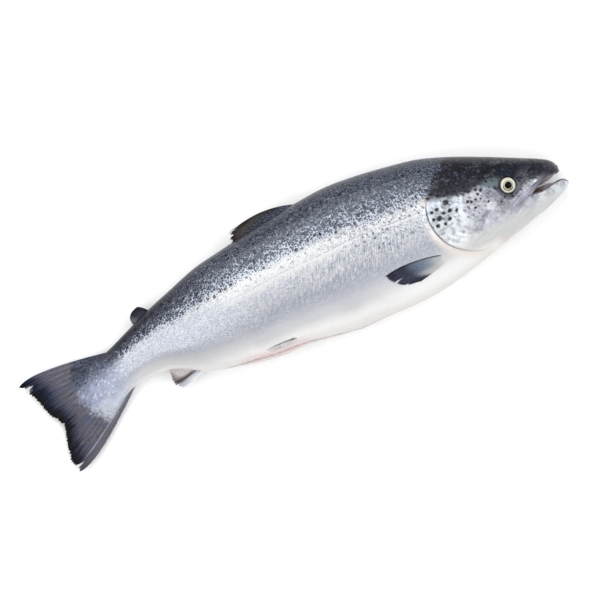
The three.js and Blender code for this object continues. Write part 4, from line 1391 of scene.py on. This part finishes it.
# %% Finish the skin
root = silver_root(w, side_view, lattice)
flank_colour = w.glaze(flank_colour, root["Colour"], w.step(far, 5.85, 6.25))
ragged_head = w.calc("ADD", w.sway(w.noise(side_view, 20.0, 4.0, 0.7)), w.sway(pick, 0.7))
ragged_head = w.times(ragged_head, w.step(high, 0.5, 0.68), 1.5)
head_border = w.step(w.calc("ADD", head, ragged_head), 0.25, 0.75)
skin_colour = w.glaze(flank_colour, head_colour, head_border)
skin_colour = w.blend(w.times(w.step(grain, 0.3, 0.75), 0.1), skin_colour, tone(255, 255, 255), "OVERLAY")
w.send(Base_Color=skin_colour)
metal = w.times(w.step(depth, 0.14, 0.3), w.step(depth, 0.98, 0.72), 0.3)
w.send(Metallic=metal)
w.send(Roughness=w.calc("MULTIPLY_ADD", grain, 0.22, 0.22))
relief = w.calc("ADD", w.times(lattice["Height"], scaly), w.times(grain, 0.35))
w.send(Normal=w.bump(relief, 0.5, 0.00035))
set_gloss(shader, Coat_Weight=0.2, Coat_Roughness=0.12, IOR=1.3)
print("skin material has", len(skin_finish.node_tree.nodes), "nodes")

# %% [markdown]
# ## A common start for the fins
# Every fin has its own run of colours from the root to the worn edge, so one function
# starts them all and takes that run as a list. It returns the colour so far, and the
# two directions of the fan, so that each fin can add its own marks.

# %% A common start for the fins
def fin_material(name, fin, run, ray_tone, ray_strength, streak=0.35):
    """The start of a fin finish: colour run, ray ridges, grain and gloss."""
    made = plain_material(name)
    w, shader = open_material(made)
    fan_place = w.chart("Fan")
    across, along, _ = w.parts(fan_place)
    lines = w.use(rays, {"Fan": fan_place, "Count": fin["rays"]})
    wavy = w.calc("ADD", along, w.sway(lines["Streak"], streak))
    skin = w.use(fin_skin, {"Place": w.chart("Side"), "Colour": w.ramp(wavy, run), "Ridge": lines["Ridge"],
                            "Ray Tone": ray_tone, "Ray Strength": ray_strength, "Roughness": 0.28})
    w.send(Normal=w.bump(skin["Height"], 0.5, 0.0005))
    w.send(Roughness=skin["Roughness"])
    set_gloss(shader, Coat_Weight=0.05, Coat_Roughness=0.15, IOR=1.12)
    return made, w, skin["Colour"], across, along


print("every fin starts with the effects", rays.name, "and", fin_skin.name)

# %% [markdown]
# ## The tail fin
# The tail is grey brown with a blue cast, nearly black at its worn edge, and silver at
# its root, where the scales run out. One ray near the lower edge is torn and pale.

# %% The tail fin
tail_run = [(0.0, tone(128, 129, 138)), (0.45, tone(122, 120, 128)), (0.64, tone(104, 103, 114)),
            (0.76, tone(58, 60, 78)), (0.92, tone(26, 26, 38))]
tail_finish, w, colour, across, along = fin_material("tail fin", TAIL, tail_run, tone(64, 65, 80), 0.4,
                                                     streak=0.6)
side_view = w.chart("Side")
blue = w.step(w.noise(w.stretch(side_view, 0.8, 1.2), 5.0, 3.0), 0.46, 0.7)
colour = w.glaze(colour, tone(86, 98, 128), blue, 0.4)
lattice = w.use(scales, {"Place": w.chart("Scales"), **SCALE_SIZE})
root = silver_root(w, side_view, lattice)
patch_mask = w.times(w.step(root["Reach"], 6.76, 6.62), w.step(across, 0.95, 0.86))
colour = w.glaze(colour, root["Colour"], patch_mask)
outer_strip = w.times(w.step(across, 0.9, 0.93), w.step(along, 0.3, 0.5))
colour = w.glaze(colour, tone(112, 108, 116), outer_strip, 0.6)
upper_blue = w.times(w.step(across, 0.5, 0.2), w.step(along, 0.5, 0.8))
colour = w.glaze(colour, tone(46, 52, 76), upper_blue, 0.75)
pale_ray = w.times(w.step(w.apart(across, 0.905), 0.014, 0.004), w.step(along, 0.85, 0.6))
colour = w.glaze(colour, tone(176, 178, 190), pale_ray, 0.6)
ink = w.noise(w.join(w.times(across, 60.0), w.times(along, 2.2)), 1.0, 4.0, 0.75)
black = w.step(w.calc("ADD", along, w.sway(ink, 0.9)), 0.62, 0.92)
colour = w.glaze(colour, tone(14, 14, 34), black, w.step(across, 0.95, 0.85, 0.35, 1.0), 0.97)
speckle = w.times(w.step(w.noise(side_view, 42.0, 1.0), 0.54, 0.66), w.step(along, 0.8, 0.5), 0.35)
colour = w.glaze(colour, tone(46, 46, 56), speckle)
torn_skin = w.distance(side_view, 7.2, 0.76)
colour = w.glaze(colour, tone(104, 110, 126), w.step(torn_skin, 0.06, 0.03, 0.0, 0.7))
w.send(Base_Color=colour)
print("tail finish has", len(w.tree.nodes), "nodes")

# %% [markdown]
# ## The fins of the back
# The dorsal fin is speckled and blue grey at its root, where the skin of the back runs
# up on it, brown in the middle and dark along its front. The small adipose fin behind
# it has no rays to speak of. It is dark in front and paler behind.

# %% The fins of the back
dorsal_run = [(0.0, tone(88, 94, 110)), (0.3, tone(84, 88, 102)), (0.5, tone(100, 97, 98)),
              (0.72, tone(104, 96, 88)), (0.86, tone(66, 62, 64)), (1.0, tone(42, 41, 46))]
dorsal_finish, w, colour, across, along = fin_material("dorsal fin", DORSAL, dorsal_run, tone(64, 64, 74),
                                                       0.35, streak=0.7)
side_view = w.chart("Side")
bits = w.noise(w.chart("Scales"), 46.0, 1.0)
near_root = w.step(along, 0.65, 0.15)
colour = w.glaze(colour, tone(48, 52, 64), w.step(bits, 0.5, 0.38), near_root, 0.6)
colour = w.glaze(colour, tone(150, 158, 174), w.step(bits, 0.5, 0.66), near_root, 0.5)
brown_streaks = w.noise(w.join(w.times(across, 26.0), w.times(along, 2.0)), 1.0, 3.0, 0.7)
brown = w.times(w.step(brown_streaks, 0.45, 0.66), w.step(along, 0.3, 0.5), 0.6)
colour = w.glaze(colour, tone(72, 62, 56), brown)
dark_front = w.times(w.step(across, 0.22, 0.03), w.step(along, 0.15, 0.4))
colour = w.glaze(colour, tone(44, 42, 46), dark_front, 0.6)
dark_rear = w.times(w.step(across, 0.78, 0.97), w.step(along, 0.5, 0.8), 0.6)
colour = w.glaze(colour, tone(40, 42, 52), dark_rear)
w.send(Base_Color=colour)

adipose_run = [(0.0, tone(78, 82, 92)), (0.4, tone(70, 74, 80)), (0.75, tone(54, 56, 60)),
               (1.0, tone(46, 46, 50))]
adipose_finish, w, colour, across, along = fin_material("adipose fin", ADIPOSE, adipose_run,
                                                        tone(60, 62, 70), 0.3)
pale_rear = w.times(w.step(across, 0.45, 0.8), w.step(along, 0.2, 0.5))
colour = w.glaze(colour, tone(112, 116, 128), pale_rear, 0.8)
colour = w.glaze(colour, tone(38, 40, 48), w.step(across, 0.3, 0.04), 0.6)
w.send(Base_Color=colour)
print("last fin of the back has", len(w.tree.nodes), "nodes")

# %% [markdown]
# ## The pale fins below
# The anal fin is white in front, with a dark smudge that runs out to its tips. The pelvic fins are nearly
# white, and only their front edge is dark: a dark leading ray and painted shadow in the gap between fin and
# belly.

# %% The pale fins below
anal_run = [(0.0, tone(240, 237, 236)), (0.45, tone(222, 214, 213)), (0.8, tone(190, 178, 178)),
            (1.0, tone(150, 138, 140))]
anal_finish, w, colour, across, along = fin_material("anal fin", ANAL, anal_run, tone(196, 188, 190), 0.3,
                                                     streak=0.6)
middle_line = w.calc("MULTIPLY_ADD", along, 0.34, 0.16)
tips = w.noise(w.join(w.times(across, 40.0), w.times(along, 1.5)), 1.0, 3.0, 0.7)
behind_line = w.calc("SUBTRACT", across, middle_line)
colour = w.glaze(colour, tone(218, 223, 232), w.step(behind_line, 0.0, -0.1, 0.0, 0.85))
colour = w.glaze(colour, tone(248, 249, 252), w.step(across, 0.14, 0.0, 0.0, 0.8))
ragged_line = w.calc("ADD", behind_line, w.sway(tips, along, 0.35))
smudge = w.step(w.calc("ABSOLUTE", ragged_line), w.calc("MULTIPLY_ADD", along, 0.2, 0.07), 0.0)
colour = w.glaze(colour, tone(62, 54, 58), smudge, w.step(along, 0.05, 0.4), 0.88)
dark_tips = w.times(w.step(tips, 0.45, 0.62), w.step(along, 0.5, 0.85),
                    w.step(behind_line, -0.04, 0.08), 0.8)
colour = w.glaze(colour, tone(84, 74, 78), dark_tips)
w.send(Base_Color=colour)

pelvic_run = [(0.0, tone(244, 243, 241)), (1.0, tone(238, 235, 233))]
pelvic_finish, w, colour, across, along = fin_material("pelvic fins", PELVIC, pelvic_run,
                                                       tone(232, 229, 228), 0.2)
taper = w.calc("MULTIPLY_ADD", along, -0.25, 0.5)
# Dark front edge: the leading ray and painted shadow in the gap between fin and belly.
front_edge_and_gap_shadow = w.times(w.step(across, taper, w.times(taper, 0.4)), w.step(along, 0.04, 0.32),
                     w.step(along, 1.0, 0.6))
colour = w.glaze(colour, tone(58, 62, 66), front_edge_and_gap_shadow, 0.92)
w.send(Base_Color=colour)
print("pelvic finish has", len(w.tree.nodes), "nodes")

# %% [markdown]
# ## The pectoral fins
# The pectoral fin is pale where it joins the body, blue grey in the middle and nearly
# black at the tip. Its front ray is a strong dark line.

# %% The pectoral fins
pectoral_run = [(0.0, tone(238, 236, 230)), (0.2, tone(212, 215, 218)), (0.36, tone(156, 168, 182)),
                (0.5, tone(124, 138, 156)), (0.66, tone(80, 85, 102)), (1.0, tone(60, 60, 74))]
pectoral_finish, w, colour, across, along = fin_material("pectoral fin", PECTORAL, pectoral_run,
                                                         tone(56, 62, 78), 0.3)
low_half = w.times(w.step(across, 0.46, 0.85), w.step(along, 0.72, 0.42))
colour = w.glaze(colour, tone(226, 225, 224), low_half, 0.8)
lead_edge = w.step(across, w.step(along, 0.4, 0.0, 0.1, 0.3), 0.02)
colour = w.glaze(colour, tone(32, 33, 42), lead_edge, 0.85)
brown = w.times(w.step(w.noise(w.chart("Side"), 36.0, 2.0), 0.5, 0.66), w.step(along, 0.5, 0.7), 0.6)
colour = w.glaze(colour, tone(100, 92, 102), brown)
w.send(Base_Color=colour)
print("fin finishes:", [m.name for m in bpy.data.materials if m.name.endswith(("fin", "fins"))])

# %% [markdown]
# ## The eye
# A fish eye has a large black pupil, a pale gold ring and a darker rim. The map of the
# eye is the distance from the middle of the pupil, so one ramp paints all the rings.
# Two arcs of shade and a small gold spot keep it from looking like a target.

# %% The eye
eye_finish = plain_material("eye")
w, shader = open_material(eye_finish)
place = w.move(w.chart("Disc"), (-0.5, -0.5, 0.0))
distance = w.times(w.distance(place, 0.0, 0.0), 2.0)
x, y, _ = w.parts(place)
turn = w.calc("ARCTAN2", y, x)
fibres = w.noise(w.join(w.times(turn, 6.0), w.times(distance, 2.0)), 1.5, 4.0, 0.7)
rings = w.calc("ADD", distance, w.sway(fibres, 0.05))
colour = w.ramp(rings, [
    (0.0, tone(0, 0, 0)), (0.405, tone(4, 4, 6)), (0.44, tone(120, 116, 92)), (0.485, tone(214, 212, 190)),
    (0.53, tone(206, 204, 186)), (0.58, tone(112, 114, 110)), (0.63, tone(216, 215, 198)),
    (0.78, tone(238, 235, 216)), (0.88, tone(196, 194, 182)), (1.0, tone(74, 78, 86))])
gold_spot = w.distance(place, -0.03, -0.21)
colour = w.glaze(colour, tone(120, 84, 40), w.step(gold_spot, 0.1, 0.03), 0.8)
towards = w.calc("ADD", w.times(x, 0.5), w.times(y, -0.85))
shade_arc = w.times(w.step(distance, 0.53, 0.6), w.step(distance, 0.76, 0.66), w.step(towards, 0.0, 0.18))
outer_arc = w.times(w.step(distance, 0.82, 0.92), w.step(w.calc("ADD", x, w.times(y, -0.6)), -0.1, 0.3))
colour = w.glaze(colour, tone(62, 64, 68), w.calc("MAXIMUM", shade_arc, outer_arc), 0.75)
w.send(Base_Color=colour)
w.send(Roughness=w.step(distance, 0.3, 0.5, 0.06, 0.25))
set_gloss(shader, Coat_Weight=0.05, Coat_Roughness=0.04, IOR=1.14)
print("eye material has", len(eye_finish.node_tree.nodes), "nodes")

# %% [markdown]
# ## Mouth lining, lips and cut flesh
# The lining of the mouth is pale towards the front and dark red deep inside, partly its own red and partly
# painted shade of the deep gape. The lips are dark grey. The flesh in the cut is pale pink and fibrous, so
# its noise is stretched along the fish. All three are wetter than the skin.

# %% Mouth lining, lips and cut flesh
w, shader = open_material(mouth_finish)
place = w.add("TexCoord").outputs["Object"]
x, _, _ = w.parts(place)
veins = w.noise(place, 160.0, 4.0, 0.6)
# Dark deep inside the mouth: red lining with painted shade.
colour = w.ramp(w.step(w.calc("ADD", x, w.times(veins, 0.01)), 0.312, 0.366),
                [(0.0, tone(96, 62, 54)), (0.3, tone(150, 112, 104)), (0.55, tone(196, 186, 196)),
                 (1.0, tone(214, 212, 224))])
w.send(Base_Color=w.glaze(colour, tone(150, 120, 124), veins, 0.3))
w.send(Normal=w.bump(w.noise(place, 320.0, 3.0), 0.4, 0.0008))
set_gloss(shader, Roughness=0.3, Coat_Weight=0.5, Coat_Roughness=0.1)

lip_finish = plain_material("lips")
w, shader = open_material(lip_finish)
place = w.add("TexCoord").outputs["Object"]
colour = w.ramp(w.noise(place, 120.0, 3.0), [(0.35, tone(46, 44, 50)), (0.65, tone(112, 108, 114))])
w.send(Base_Color=colour)
set_gloss(shader, Roughness=0.3, Coat_Weight=0.4)

w, shader = open_material(flesh_finish)
place = w.add("TexCoord").outputs["Object"]
fibre = w.noise(w.stretch(place, 0.25, 1.0), 700.0, 4.0, 0.6)
colour = w.ramp(fibre,
                [(0.3, (0.6, 0.47, 0.47, 1.0)), (0.55, (0.74, 0.64, 0.64, 1.0)),
                 (0.75, (0.84, 0.77, 0.77, 1.0))])
w.send(Base_Color=colour)
w.send(Normal=w.bump(fibre, 0.5, 0.0006))
set_gloss(shader, Roughness=0.35, Coat_Weight=0.4)
print("materials:", [m.name for m in bpy.data.materials])

# %% [markdown]
# ## Put the fish together
# Each piece gets its finish and hangs under one root, and the solid it stands for is hidden. The eyes stand
# for the two eye solids and everything else stands for the body, because on a real fish the fins, the lips
# and the gill covers have all grown in one with it.

# %% Assign materials and places
finishes = {tail: tail_finish, dorsal: dorsal_finish, adipose: adipose_finish, anal: anal_finish}
finishes.update({f: pectoral_finish for f in pectorals} | {f: pelvic_finish for f in pelvics})
finishes.update({p: skin_finish for p in shells} | {p: lip_finish for p in lips})
finishes.update({p: mouth_finish for p in mouth_parts} | {right_eye: eye_finish, left_eye: eye_finish})
for piece, finish in finishes.items():
    piece.data.materials.clear()
    piece.data.materials.append(finish)
for piece in [trunk, *finishes]:
    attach(piece, "root")
    node = {right_eye: "eye_right", left_eye: "eye_left"}.get(piece, "fish_body")
    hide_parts(node)
print(len(finishes) + 1, "pieces in place")

# %% [markdown]
# ## The floor
# The fish needs something to lie on and to cast its soft shadow on. One large pale square does it.

# %% The floor
scene = bpy.context.scene
scene.view_settings.view_transform = "Standard"
floor_mesh = bpy.data.meshes.new("white floor")
floor_mesh.from_pydata([(-4, -4, 0), (4, -4, 0), (4, 4, 0), (-4, 4, 0)], [], [(0, 1, 2, 3)])
floor = bpy.data.objects.new("white_floor", floor_mesh)
scene.collection.objects.link(floor)
floor_finish = plain_material("white floor")
_, shader = open_material(floor_finish)
shader["Base Color"].default_value = (0.98, 0.98, 0.98, 1)
set_gloss(shader, Roughness=0.7)
floor_mesh.materials.append(floor_finish)
print("floor", floor.dimensions.x, "m wide")

# %% [markdown]
# ## Light and camera
# The photograph is bright and nearly shadowless, taken from straight above in a soft light. A pale sky all
# round and a few large soft lamps give that. One long lamp runs above the back, and it draws a real highlight
# along the flank, over the band that is painted into the skin. The camera hangs high with a long lens, so
# that the view is nearly parallel, as in the photograph.

# %% Light and camera
sky = bpy.data.worlds.new("studio")
sky.use_nodes = True
sky.node_tree.nodes["Background"].inputs["Color"].default_value = (1, 1, 1, 1)
sky.node_tree.nodes["Background"].inputs["Strength"].default_value = 0.48
scene.world = sky


def soft_lamp(name, place, aim, size, power):
    """A large rectangular lamp that points at a place."""
    lamp = bpy.data.lights.new(name, "AREA")
    lamp.shape, lamp.size, lamp.size_y, lamp.energy = "RECTANGLE", size[0], size[1], power
    holder = bpy.data.objects.new(name, lamp)
    holder.location = place
    away = Vector(place) - Vector(aim)
    holder.rotation_euler = away.to_track_quat("Z", "Y").to_euler()
    scene.collection.objects.link(holder)


LAMPS = [
    # name, place, what it points at, width and height, power
    ("back lamp", (0.0, 1.9, 2.0), (0, 0, 0), (2.2, 1.4), 36),
    ("front lamp", (0.0, -1.9, 2.0), (0, 0, 0), (2.2, 1.4), 28),
    ("tail lamp", (-2.0, 0.0, 2.0), (0, 0, 0), (1.4, 2.0), 22),
    ("head lamp", (2.0, 0.0, 2.0), (0, 0, 0), (1.4, 2.0), 22),
    ("band lamp", (0.0, 1.0, 1.9), (0, 0.03, 0), (1.8, 0.2), 6),
]
for lamp in LAMPS:
    soft_lamp(*lamp)

CAMERA_PLACE = (-0.0011, -0.0246, 9.0)
CAMERA_TURN = -27
LENS = 430
camera = bpy.data.objects.new("camera", bpy.data.cameras.new("camera"))
camera.data.sensor_width, camera.data.lens = 36, LENS
camera.location = CAMERA_PLACE
camera.rotation_euler = (0, 0, math.radians(CAMERA_TURN))
scene.collection.objects.link(camera)
scene.camera = camera
print(len(LAMPS), "lamps, and a camera", CAMERA_PLACE[2], "m above the floor")

# %% [markdown]
